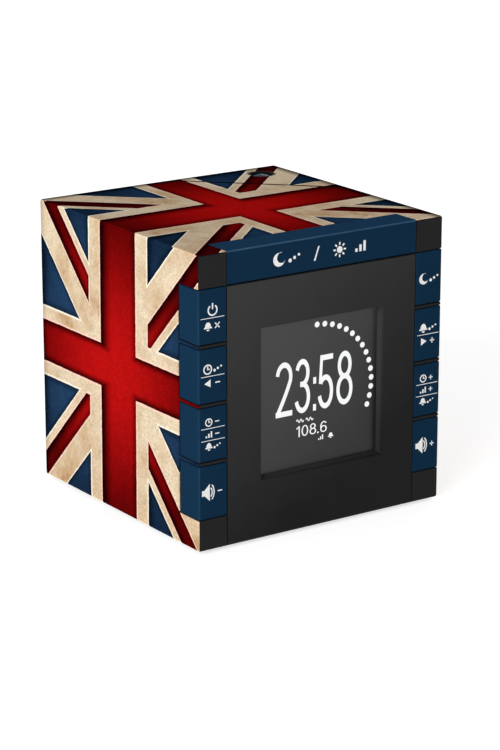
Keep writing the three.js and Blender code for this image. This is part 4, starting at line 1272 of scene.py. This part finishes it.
@dataclass(frozen=True)
class FigureSet:
    """Plain upright numerals drawn as strokes in a cell half as wide as it is high."""

    weight: float
    middle: float = 0.249
    waist: float = 0.535

    def two(self) -> list[Strip]:
        """A round head that falls in a quadratic curve to the foot, on a flat base.

        Returns:
            Its strips.
        """
        w, h, mid = self.weight, self.weight / 2, self.middle
        bend = arc(mid, 0.73, (mid - h, 0.27 - h), 172, -28, 31)
        s = np.linspace(0.0, 1.0, 16)[:, None]
        knee, toe = bend[-1] + (-0.125, -0.245), np.array((0.052, 0.055))
        fall = (1 - s) ** 2 * bend[-1] + 2 * s * (1 - s) * knee + s ** 2 * toe
        return [stroke(np.vstack([bend, fall[1:]]), w), block(0.0, 0.0, 0.498, w)]

    def strips(self, figure: str) -> list[Strip]:
        """Returns the strips of one numeral, a colon or a point.

        Args:
            figure: One character.

        Returns:
            Its strips, with the cell's lower left corner at the origin.
        """
        w, h, mid, waist = self.weight, self.weight / 2, self.middle, self.waist
        upper = (0.214 - h, (1 - h - waist) / 2)
        lower = (mid - h, (waist - h) / 2)
        over, under = waist + upper[1], waist - lower[1]
        ways = {
            "0": lambda: [loop(mid, 0.5, (mid - h, 0.5 - h), w)],
            "1": lambda: [bar((0.32, 0.0), (0.32, 1.0), w), bar((0.12, 0.76), (0.31, 0.95), w)],
            "2": self.two,
            "3": lambda: [stroke(arc(0.235, over, upper, 163, -90, 31), w),
                          stroke(arc(0.235, under, (0.235 - h, lower[1]), 90, -165, 35), w),
                          block(0.17, waist - h, 0.24, waist + h)],
            "5": lambda: [block(0.075, 1 - w, 0.462, 1.0), bar((0.118, 1.0), (0.075, 0.475), w * 0.86),
                          stroke(arc(0.236, 0.315, (0.236 - h, 0.315 - h), 142, -166, 41), w)],
            "6": lambda: [loop(mid, 0.31, (mid - h, 0.31 - h), w),
                          stroke(arc(0.27, 0.5, (0.27 - h, 0.5 - h), 42, 192, 31), w)],
            "8": lambda: [loop(mid, over, upper, w), loop(mid, under, lower, w)],
            ":": lambda: [block(0.0, 0.0, 0.089, 0.12), block(0.0, 0.5, 0.089, 0.62)],
            ".": lambda: [block(0.0, 0.0, 0.11, 0.14)],
        }
        return ways[figure]()


@dataclass(frozen=True)
class EdgeBreak:
    """The small radius that a moulding tool leaves on an edge, put on a node by its modifiers."""

    radius_mm: float = 0.22
    segments: int = 2
    from_degrees: float = 55.0
    sharp_degrees: float = 48.0
    flat_degrees: float = 0.4
    merge_m: float = 1e-6

    def group(self) -> bpy.types.NodeTree:
        """Draws the node group that shades flat runs smoothly and keeps true corners sharp.

        Returns:
            The group, which is drawn on the first call.
        """
        made = bpy.data.node_groups.get("smooth_runs")
        if made is not None:
            return made
        made = bpy.data.node_groups.new("smooth_runs", "GeometryNodeTree")
        for way in ("INPUT", "OUTPUT"):
            made.interface.new_socket("Geometry", in_out=way, socket_type="NodeSocketGeometry")
        add = Shader(made).add
        start = add("NodeGroupInput")
        shape = add("GeometryNodeRemoveAttribute", {"Geometry": start, "Name": "custom_normal"})
        angle = add("GeometryNodeInputMeshEdgeAngle").outputs["Unsigned Angle"]
        sharp = add("FunctionNodeCompare", angle, math.radians(self.sharp_degrees),
                    data_type="FLOAT", operation="GREATER_THAN")
        for domain, where, smooth in (("FACE", True, True), ("EDGE", True, True), ("EDGE", sharp, False)):
            shape = add("GeometryNodeSetShadeSmooth",
                        {"Geometry": shape, "Selection": where, "Shade Smooth": smooth}, domain=domain)
        add("NodeGroupOutput", {"Geometry": shape})
        return made

    def apply(self, node: bpy.types.Object) -> None:
        """Adds the modifiers: merged points, whole flat faces, rounded edges and even normals.

        Args:
            node: A node of the frame, whose own mesh stays as it is.
        """
        weld = node.modifiers.new("merge_points", "WELD")
        weld.merge_threshold = self.merge_m
        if self.radius_mm > 0:
            flat = node.modifiers.new("whole_faces", "DECIMATE")
            flat.decimate_type = "DISSOLVE"
            flat.angle_limit = math.radians(self.flat_degrees)
            bevel = node.modifiers.new("tool_radius", "BEVEL")
            bevel.width = self.radius_mm * MM
            bevel.segments = self.segments
            bevel.limit_method = "ANGLE"
            bevel.angle_limit = math.radians(self.from_degrees)
            bevel.use_clamp_overlap = True
        smooth = node.modifiers.new("smooth_runs", "NODES")
        smooth.node_group = self.group()
        even = node.modifiers.new("even_normals", "WEIGHTED_NORMAL")
        even.keep_sharp = True


MOULDED = EdgeBreak()
FINE = EdgeBreak(radius_mm=0.12)
PLAIN = EdgeBreak(radius_mm=0.0)


def dress(name: str, finish: Finish, edge: EdgeBreak = PLAIN) -> None:
    """Gives a node of the frame its finish and its edges.

    Args:
        name: Name of the node.
        finish: What it is made of.
        edge: How its corners are broken.
    """
    node = frame["nodes"][name]
    node.data.materials.clear()
    node.data.materials.append(finish.material())
    edge.apply(node)
    LOG.info("node %s: %s", name, finish.name)


def settle(piece: bpy.types.Object, body: str, finish: Finish, *stands_for: str) -> None:
    """Gives a new piece its finish and lets it ride on a body.

    Args:
        piece: The finished piece, in place.
        body: The body that carries it.
        finish: What it is made of.
        stands_for: Nodes of the frame that it replaces.
    """
    piece.data.materials.append(finish.material())
    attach(piece, body)
    if stands_for:
        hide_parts(*stands_for)
    LOG.info("piece %s on %s: %s", piece.name, body, finish.name)


@dataclass
class CaseAssembly:
    """The printed cube, its dark middle panel, its feet and the cover of the backup cell."""

    feet: tuple[str, ...] = ("front_left", "front_right", "back_left", "back_right")
    foot_rings: int = 4
    ring_mm: float = 0.22
    ringed_share: float = 0.9
    rim_mm: float = 0.35

    def build(self) -> None:
        """Dresses the shell, the panel and the underside."""
        dress("case_shell", PRINT, MOULDED)
        dress("front_panel", CHARCOAL_ABS, MOULDED)
        dress("battery_cap", BLACK_ABS, MOULDED)
        for name in self.feet:
            self.foot(f"foot_{name}")

    def foot(self, node: str) -> None:
        """A soft foot: rounded rim and shallow rings under it that grip the table.

        The underside's height is a cosine of the radius, which is nothing at the middle and the rim.

        Args:
            node: The foot's node, which the piece stands for.
        """
        low, high, (x, y, _) = span(node)
        size, tall = (high.x - low.x) / 2 / MM, (high.z - low.z) / MM
        ringed = size * self.ringed_share
        across = np.linspace(0.0, ringed, 60)
        wave = 0.5 - 0.5 * np.cos(2 * math.pi * self.foot_rings * across / across[-1])
        under = np.stack([across, self.ring_mm * wave], axis=-1) * MM
        wall = [(ringed, 0.0), (size, 0.0), (size, tall), (size * 0.5, tall), (0.0, tall)]
        profile = np.vstack([under, rounded(wall, self.rim_mm)[1:]])
        made = turned_piece(f"ribbed_{node}", profile[:, :1], profile[:, 1:], 64, (x, y, low.z))
        settle(made, "case", FOOT_RUBBER, node)


@dataclass
class KeyBank:
    """The two key columns and the snooze bar, with the signs printed on them. Millimetres.

    Each key has rows of signs: their height over the middle of the key, their size and the signs.
    """

    ink_mm: float = 0.02
    rule_mm: float = 0.22
    rule_length: float = 9.2
    pitch: float = 3.45
    inset: float = 5.65
    wide_sign: float = 1.5
    marks: MarkSet = MarkSet()
    left: tuple = (
        ((2.2, 1.3, (Mark.POWER,)), (-3.2, 1.05, (Mark.BELL, Mark.CROSS))),
        ((2.3, 1.15, (Mark.CLOCK, Mark.DOTS)), (-2.5, 1.1, (Mark.BACK, Mark.MINUS))),
        ((4.2, 0.95, (Mark.CLOCK, Mark.MINUS)), (0.0, 0.95, (Mark.STEPS, Mark.MINUS)),
         (-4.1, 0.95, (Mark.BELL, Mark.DOTS))),
        ((0.0, 1.03, (Mark.SPEAKER, Mark.MINUS)),),
    )
    right: tuple = (
        ((-0.3, 1.3, (Mark.MOON, Mark.DOTS)),),
        ((2.3, 1.15, (Mark.BELL, Mark.DOTS)), (-2.5, 1.1, (Mark.AHEAD, Mark.PLUS))),
        ((4.2, 0.95, (Mark.CLOCK, Mark.PLUS)), (0.0, 0.95, (Mark.STEPS, Mark.PLUS)),
         (-4.1, 0.95, (Mark.BELL, Mark.DOTS))),
        ((0.0, 1.03, (Mark.SPEAKER, Mark.PLUS)),),
    )
    snooze: tuple = (
        (-17.4, Mark.MOON), (-11.2, Mark.DOTS), (-2.2, Mark.SLASH), (7.2, Mark.SUN), (15.8, Mark.STEPS))
    snooze_marks: MarkSet = MarkSet(weight=0.36)
    snooze_size: Pair = (1.6, 1.6)
    snooze_left: float = 0.75
    snooze_down: float = 5.8

    def build(self) -> None:
        """Dresses the keys and prints their signs."""
        for side, rows in (("left", self.left), ("right", self.right)):
            for row, signs in enumerate(rows, start=1):
                key = f"key_{side}_{row}"
                dress(key, NAVY_ABS, MOULDED)
                self.sign(key, signs)
        dress("snooze_bar", NAVY_ABS, MOULDED)
        self.snooze_sign()

    def row(self, size: float, signs: Sequence[Mark]) -> list[Strip]:
        """Sets the signs of a row side by side about its middle; a loudspeaker takes more room.

        Args:
            size: How much larger than drawn.
            signs: The signs from left to right.

        Returns:
            Their strips.
        """
        widths = [self.wide_sign if sign is Mark.SPEAKER else 1.0 for sign in signs]
        ends = np.cumsum(widths)
        middles = (ends - np.array(widths) / 2 - ends[-1] / 2) * self.pitch * size
        return [strip.placed(u, 0.0, (size, size)) for sign, u in zip(signs, middles)
                for strip in self.marks.strips(sign)]

    def sign(self, key: str, rows: Sequence[tuple]) -> None:
        """Prints the rows of a key with a rule between each two.

        Args:
            key: The key's node and body.
            rows: Height, size and signs of each row.
        """
        low, high, (_, _, z) = span(key)
        strips = [s.placed(0.0, up) for up, size, signs in rows for s in self.row(size, signs)]
        heights = [row[0] for row in rows]
        half = self.rule_length / 2
        strips += [bar((-half, (a + b) / 2), (half, (a + b) / 2), self.rule_mm)
                   for a, b in zip(heights, heights[1:])]
        x = low.x + self.inset * MM if low.x < 0 else high.x - self.inset * MM
        settle(pads(f"sign_{key}", strips, (x, low.y, z), self.ink_mm * MM), key, INK)

    def snooze_sign(self) -> None:
        """A moon with its dots, a slash, and a lamp with steps of brightness, along the bar's front."""
        low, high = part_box("snooze_bar")
        strips = [s.placed(u, 0.0, self.snooze_size)
                  for u, sign in self.snooze for s in self.snooze_marks.strips(sign)]
        middle = (-self.snooze_left * MM, low.y, high.z - self.snooze_down * MM)
        settle(pads("sign_snooze_bar", strips, middle, self.ink_mm * MM), "snooze", INK)


@dataclass
class DisplayUnit:
    """The sunk display: glass, the time, the station and the ring of seconds. Millimetres.

    Numbers have the left end of each figure, the height of their base, their cell and their weight.
    A small sign has its place and size.
    """

    proud_mm: float = 0.02
    numbers: tuple = (
        ("lit_time", "23:58", (-17.2, -9.5, -1.85, 0.05, 7.85), 41.1, (13.55, 18.9), 0.098),
        ("lit_station", "108.6", (-9.3, -6.55, -3.25, -0.1, 1.2), 32.85, (5.5, 3.85), 0.092),
    )
    ring_centre: Pair = (-0.4, 48.1)
    ring_radius: float = 22.9
    ring_dots: int = 15
    dot_radius: float = 0.98
    dot_step: float = 8.0
    small: tuple = (
        (Mark.WAVE, -7.2, 38.5, 1.0), (Mark.WAVE, -3.3, 38.5, 1.0), (Mark.STEPS, 1.4, 31.2, 0.75),
        (Mark.BELL, 5.6, 31.2, 0.72))
    small_marks: MarkSet = MarkSet(weight=0.36)

    def build(self) -> None:
        """Dresses the glass and lights the figures on it."""
        dress("lcd_glass", GLASS, FINE)
        for name, text, lefts, base, cell, weight in self.numbers:
            figures = FigureSet(weight)
            self.lit(name, [s.placed(left, base, cell) for figure, left in zip(text, lefts)
                            for s in figures.strips(figure)])
        u, v = self.ring_centre
        angle = np.radians(90 - self.dot_step * np.arange(self.ring_dots))
        self.lit("lit_seconds_ring", [
            disc(u + self.ring_radius * math.cos(t), v + self.ring_radius * math.sin(t), self.dot_radius)
            for t in angle])
        self.lit("lit_small_signs", [s.placed(u, v, (size, size)) for mark, u, v, size in self.small
                                     for s in self.small_marks.strips(mark)])

    def lit(self, name: str, strips: list[Strip]) -> None:
        """Lays lit strips on the glass."""
        plane = (0.0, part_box("lcd_glass")[0].y, 0.0)
        settle(pads(name, strips, plane, self.proud_mm * MM), "case", LIT)


@dataclass
class ProjectorCorner:
    """The corner that turns on the cube's diagonal, with its lens and focus ring. Millimetres."""

    ribs: int = 30
    rib_mm: float = 0.14
    rib_height: float = 2.2
    blend: float = 0.3
    play: float = 0.1
    seat_gap: float = 0.05
    lip: float = 0.9
    fillet: float = 0.16
    grip: float = 2.4
    rim: float = 0.55
    rib_inside: float = 0.7
    mouth: Pair = (0.25, 0.45)
    bore_down: float = 0.8
    lens_edge: float = 0.12
    lens_foot: float = 0.96

    def build(self) -> None:
        """Dresses the corner and makes the lens and the ribbed barrel."""
        dress("corner_shell", PRINT, MOULDED)
        dress("corner_base", BLACK_ABS, FINE)
        dress("pivot_clip", STEEL)
        dress("pivot_washer", FOOT_RUBBER)
        dress("projector_lcd", GLASS)
        dress("projector_lamp", GUIDE)
        self.lens()
        self.barrel()

    def lens(self) -> None:
        """A ground lens: its upper face is the dome z = sag (1 - (r / R)^2) over a plain rim."""
        low, high, (x, y, _) = span("projection_lens")
        size, tall = (high.x - low.x) / 2, high.z - low.z
        r = np.linspace(0.0, size, 28)
        dome = tall / 2 + (tall / 2) * (1 - (r / size) ** 2)
        edge = np.array([[size, self.lens_edge * tall], [size * self.lens_foot, 0.0], [0.0, 0.0]])
        profile = np.vstack([np.stack([r, dome], axis=-1), edge])
        made = turned_piece("ground_lens", profile[:, :1], profile[:, 1:], 80, (x, y, low.z))
        settle(made, "focus_barrel", LENS, "projection_lens")

    def barrel(self) -> None:
        """The focus barrel: ribs round its upper rim for a fingertip, and steps that stop stray light.

        The outer radius follows R - depth (1/2 + 1/2 cos(ribs t))^3 near the top and is round below.
        """
        low, high, (x, y, _) = span("lens_barrel")
        lens_low, lens_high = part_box("projection_lens")
        outer, tall = (high.x - low.x) / 2 / MM, (high.z - low.z) / MM
        bore = (lens_high.x - lens_low.x) / 2 / MM + self.play
        seat = (lens_low.z - low.z) / MM - self.seat_gap
        inner = bore - self.lip
        section = rounded([
            (inner, 0.0), (outer, 0.0), (outer, tall - self.grip), (outer, tall), (outer - self.rim, tall),
            (bore + self.mouth[0], tall - self.mouth[1]), (bore, tall - self.bore_down), (bore, seat),
            (inner, seat), (inner, 0.0)],
            self.fillet, 4)
        angle = np.linspace(0.0, 2 * math.pi, 360, endpoint=False)
        ridge = (0.5 + 0.5 * np.cos(self.ribs * angle)) ** 3
        high_up = np.clip((section[:, 1] / MM - (tall - self.rib_height)) / self.blend, 0.0, 1.0)
        outside = np.clip((section[:, 0] / MM - (outer - self.rib_inside)) / self.blend, 0.0, 1.0)
        radius = section[:, :1] - self.rib_mm * MM * (high_up * outside)[:, None] * ridge
        made = turned_piece("ribbed_focus_barrel", radius, section[:, 1:], angle.size, (x, y, low.z))
        settle(made, "focus_barrel", LENS_BLACK, "lens_barrel")


@dataclass
class RearPanel:
    """The back cover with its speaker slots, socket, grommet and screws. Millimetres."""

    screws: int = 4
    head: float = 1.5
    recess: float = 0.85
    arm_half: float = 0.36
    arm_reach: float = 0.58
    flat_share: float = 0.93
    shank: float = 1.12
    thread: float = 0.08
    pitch: float = 0.9
    thread_end: float = 0.9
    tip: Pair = (0.5, 0.3)
    dome: float = 0.18
    soft_edge: float = 0.1
    rim_drop: Pair = (0.16, 0.4)
    rim_fillet: float = 0.2
    neck: float = 1.3

    def build(self) -> None:
        """Dresses the cover and what shows through it, and makes the screw heads."""
        dress("rear_cover", BLACK_ABS, MOULDED)
        dress("aerial_grommet", FOOT_RUBBER)
        _, _, (x, _, z) = span("power_socket")
        socket = ContactSocket("moulded_socket_with_nickel_pin", "black_plastic", axis_x=x, axis_z=z)
        dress("power_socket", socket, FINE)
        dress("speaker_frame", TIN)
        dress("speaker_cone", PAPER)
        dress("speaker_magnet", FERRITE)
        for number in range(1, self.screws + 1):
            self.screw(f"rear_screw_{number}")

    def screw(self, node: str) -> None:
        """A pan-head screw: a domed head with a cross recess over a shank with its thread.

        The head's height is a shallow dome less a cross, 1 where either arm's half width is larger
        than the offset from it, smoothed over a tenth of a millimetre. The thread is a helix: the
        shank's radius is a cosine of the height plus the angle.

        Args:
            node: The screw's node, which the piece stands for.
        """
        low, high, (x, _, z) = span(node)
        size, tall = (high.x - low.x) / 2 / MM, (high.y - low.y) / MM
        under, flat = tall - self.head, size * self.flat_share
        angle = np.linspace(0.0, 2 * math.pi, 96, endpoint=False)
        across = np.linspace(0.0, flat, 40)[:, None]
        u, v = np.abs(across * np.cos(angle)), np.abs(across * np.sin(angle))
        arms = (np.minimum(self.arm_half - p, self.arm_reach * size - q) for p, q in ((u, v), (v, u)))
        cut = np.clip(np.maximum(*arms) / self.soft_edge + 0.5, 0.0, 1.0)
        top = tall - self.dome * (across / size) ** 2 - self.recess * cut * cut * (3 - 2 * cut)
        upper, lower = (tall - drop for drop in self.rim_drop)
        rim = [(flat, upper), (size, lower), (size, under), (self.neck, under)]
        rim = rounded(rim, self.rim_fillet, 4)[1:] / MM
        turns = np.linspace(under - 0.1, self.thread_end, 90)[:, None]
        thread = self.shank + self.thread * np.cos(2 * math.pi * turns / self.pitch + angle)
        tip = np.array([self.tip, (0.0, 0.0)])
        ones = np.ones(angle.size)
        radius = np.vstack([across * ones, rim[:, :1] * ones, thread, tip[:, :1] * ones]) * MM
        height = np.vstack([top, rim[:, 1:] * ones, turns * ones, tip[:, 1:] * ones]) * MM
        made = turned_piece(f"pan_head_{node}", radius, height, angle.size, (x, low.y, z), (0, 1, 0))
        settle(made, "case", STEEL, node)


@dataclass
class InnerWorks:
    """Boards, switches, aerial and backup cell inside the case."""

    finishes: dict[str, Finish] = field(default_factory=lambda: {
        "lcd_backlight": GUIDE, "front_board": BOARD, "main_board": BOARD, "tuner_shield": TIN,
        "smoothing_capacitor": BLACK_ABS, "ferrite_rod": FERRITE, "aerial_coil": COPPER,
        "ribbon_cable": RIBBON, "coin_cell": STEEL, "battery_contact": STEEL, "snooze_switch": BLACK_ABS,
    })
    screws: tuple[str, ...] = ("board_screw", "main_screw", "speaker_screw")

    def build(self) -> None:
        """Dresses every inner node."""
        for side in ("left", "right"):
            for row in range(1, 5):
                dress(f"switch_{side}_{row}", BLACK_ABS)
        for name, finish in self.finishes.items():
            dress(name, finish)
        for name in self.screws:
            for number in (1, 2):
                dress(f"{name}_{number}", STEEL)


def facing(place: Place, aim: Place) -> Matrix:
    """Returns the placement of a lamp or a camera that stands at a place and looks at another."""
    sight = Vector(aim) - Vector(place)
    return Matrix.Translation(place) @ sight.to_track_quat("-Z", "Y").to_matrix().to_4x4()


@dataclass(frozen=True)
class Lamp:
    """A soft round studio lamp: where it stands, how wide it is and how strong."""

    name: str
    place: Place
    size: float
    watts: float

    def hang(self, aim: Place) -> None:
        """Makes the lamp and turns it to a point.

        Args:
            aim: The point.
        """
        data = bpy.data.lights.new(self.name, "AREA")
        data.shape = "DISK"
        data.size = self.size
        data.energy = self.watts
        made = bpy.data.objects.new(self.name, data)
        made.matrix_world = facing(self.place, aim)
        bpy.context.scene.collection.objects.link(made)


@dataclass
class Studio:
    """White floor, soft lamps and the camera. Metres."""

    eye: Place = (-0.50863, -0.74509, 0.30963)
    aim: Place = (0.00172, -0.00444, 0.04266)
    lens_mm: float = 128.8
    sensor_mm: float = 36.0
    paper: str = "#e8e8e8"
    white: str = "#ffffff"
    floor_half: float = 6.0
    floor_points: int = 9
    ambient: float = 0.275
    floor_glow: Pair = (0.64, 0.9)
    floor_reach: Pair = (0.5, 2.5)
    lamp_aim: Place = (0.0, 0.0, 0.05)
    lamps: tuple[Lamp, ...] = (
        Lamp("key_softbox", (-1.32, -0.69, 0.49), 1.1, 21.3),
        Lamp("rim_softbox", (1.2, 1.1, 0.9), 0.9, 7.5),
        Lamp("under_softbox", (0.0, 0.0, -0.6), 0.3, 6.0),
    )

    def build(self) -> None:
        """Sets the colour transform and puts up floor, world, lamps and camera."""
        scene = bpy.context.scene
        scene.view_settings.view_transform = "Standard"
        self.floor()
        self.world()
        for lamp in self.lamps:
            lamp.hang(self.lamp_aim)
        data = bpy.data.cameras.new("product_camera")
        data.lens = self.lens_mm
        data.sensor_width = self.sensor_mm
        camera = bpy.data.objects.new("product_camera", data)
        camera.matrix_world = facing(self.eye, self.aim)
        scene.collection.objects.link(camera)
        scene.camera = camera

    def seen(self, add: Adder) -> Node:
        """Adds what is one for rays that show the background: seen, mirrored or through glass.

        Args:
            add: Adds a node to the tree.

        Returns:
            A node that gives one or nothing.
        """
        path = add("ShaderNodeLightPath").outputs
        shown = add(MOST, path["Is Camera Ray"], path["Is Glossy Ray"])
        return add(MOST, shown, path["Is Transmission Ray"])

    def floor(self) -> None:
        """A wide sheet of matt white paper that glows where it is looked at, more towards its rim.

        From below it is clear, and it lets the light of the lamp under it through, so that the
        underside can be seen.
        """
        steps = np.linspace(-self.floor_half, self.floor_half, self.floor_points)
        u, v = np.meshgrid(steps, steps, indexing="ij")
        points = np.stack([u, v, np.zeros_like(u)], axis=-1).reshape(-1, 3)
        mesh = bpy.data.meshes.new("paper_floor")
        mesh.from_pydata(points.tolist(), [], lattice(self.floor_points, self.floor_points).tolist())
        sheet = bpy.data.objects.new("paper_floor", mesh)
        bpy.context.scene.collection.objects.link(sheet)
        made = bpy.data.materials.new("white_paper")
        made.use_nodes = True
        add = Shader(made.node_tree).add
        away = add(V_LENGTH, add(COORDS).outputs["Object"])
        level = add(TIMES, self.seen(add), add(RANGE, away, *self.floor_reach, *self.floor_glow))
        matt = add("ShaderNodeBsdfDiffuse", {"Color": self.paper})
        glow = add("ShaderNodeEmission", {"Color": self.white, "Strength": level})
        paper = add("ShaderNodeAddShader", matt, glow)
        below = add("ShaderNodeNewGeometry").outputs["Backfacing"]
        below = add(MOST, below, add("ShaderNodeLightPath").outputs["Is Shadow Ray"])
        clear = add("ShaderNodeBsdfTransparent")
        add(OUTPUT, {"Surface": add("ShaderNodeMixShader", below, paper, clear)})
        mesh.materials.append(made)

    def world(self) -> None:
        """An even grey surround that shows as white."""
        made = bpy.data.worlds.new("white_surround")
        made.use_nodes = True
        add = Shader(made.node_tree).add
        level = add(RANGE, self.seen(add), 0.0, 1.0, self.ambient, 1.0)
        back = add("ShaderNodeBackground", {"Color": self.white, "Strength": level})
        add("ShaderNodeOutputWorld", {"Surface": back})
        bpy.context.scene.world = made


def clear_startup() -> None:
    """Removes the objects that a new Blender file starts with."""
    known = set(frame["nodes"].values()) | set(frame["bodies"].values())
    for stray in [o for o in bpy.data.objects if o not in known]:
        bpy.data.objects.remove(stray)


def main() -> None:
    """Builds the clock radio piece by piece."""
    logging.basicConfig(level=logging.INFO, format="%(name)s %(message)s")
    clear_startup()
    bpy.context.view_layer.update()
    Studio().build()
    CaseAssembly().build()
    KeyBank().build()
    DisplayUnit().build()
    ProjectorCorner().build()
    RearPanel().build()
    InnerWorks().build()


if __name__ == "__main__":
    main()
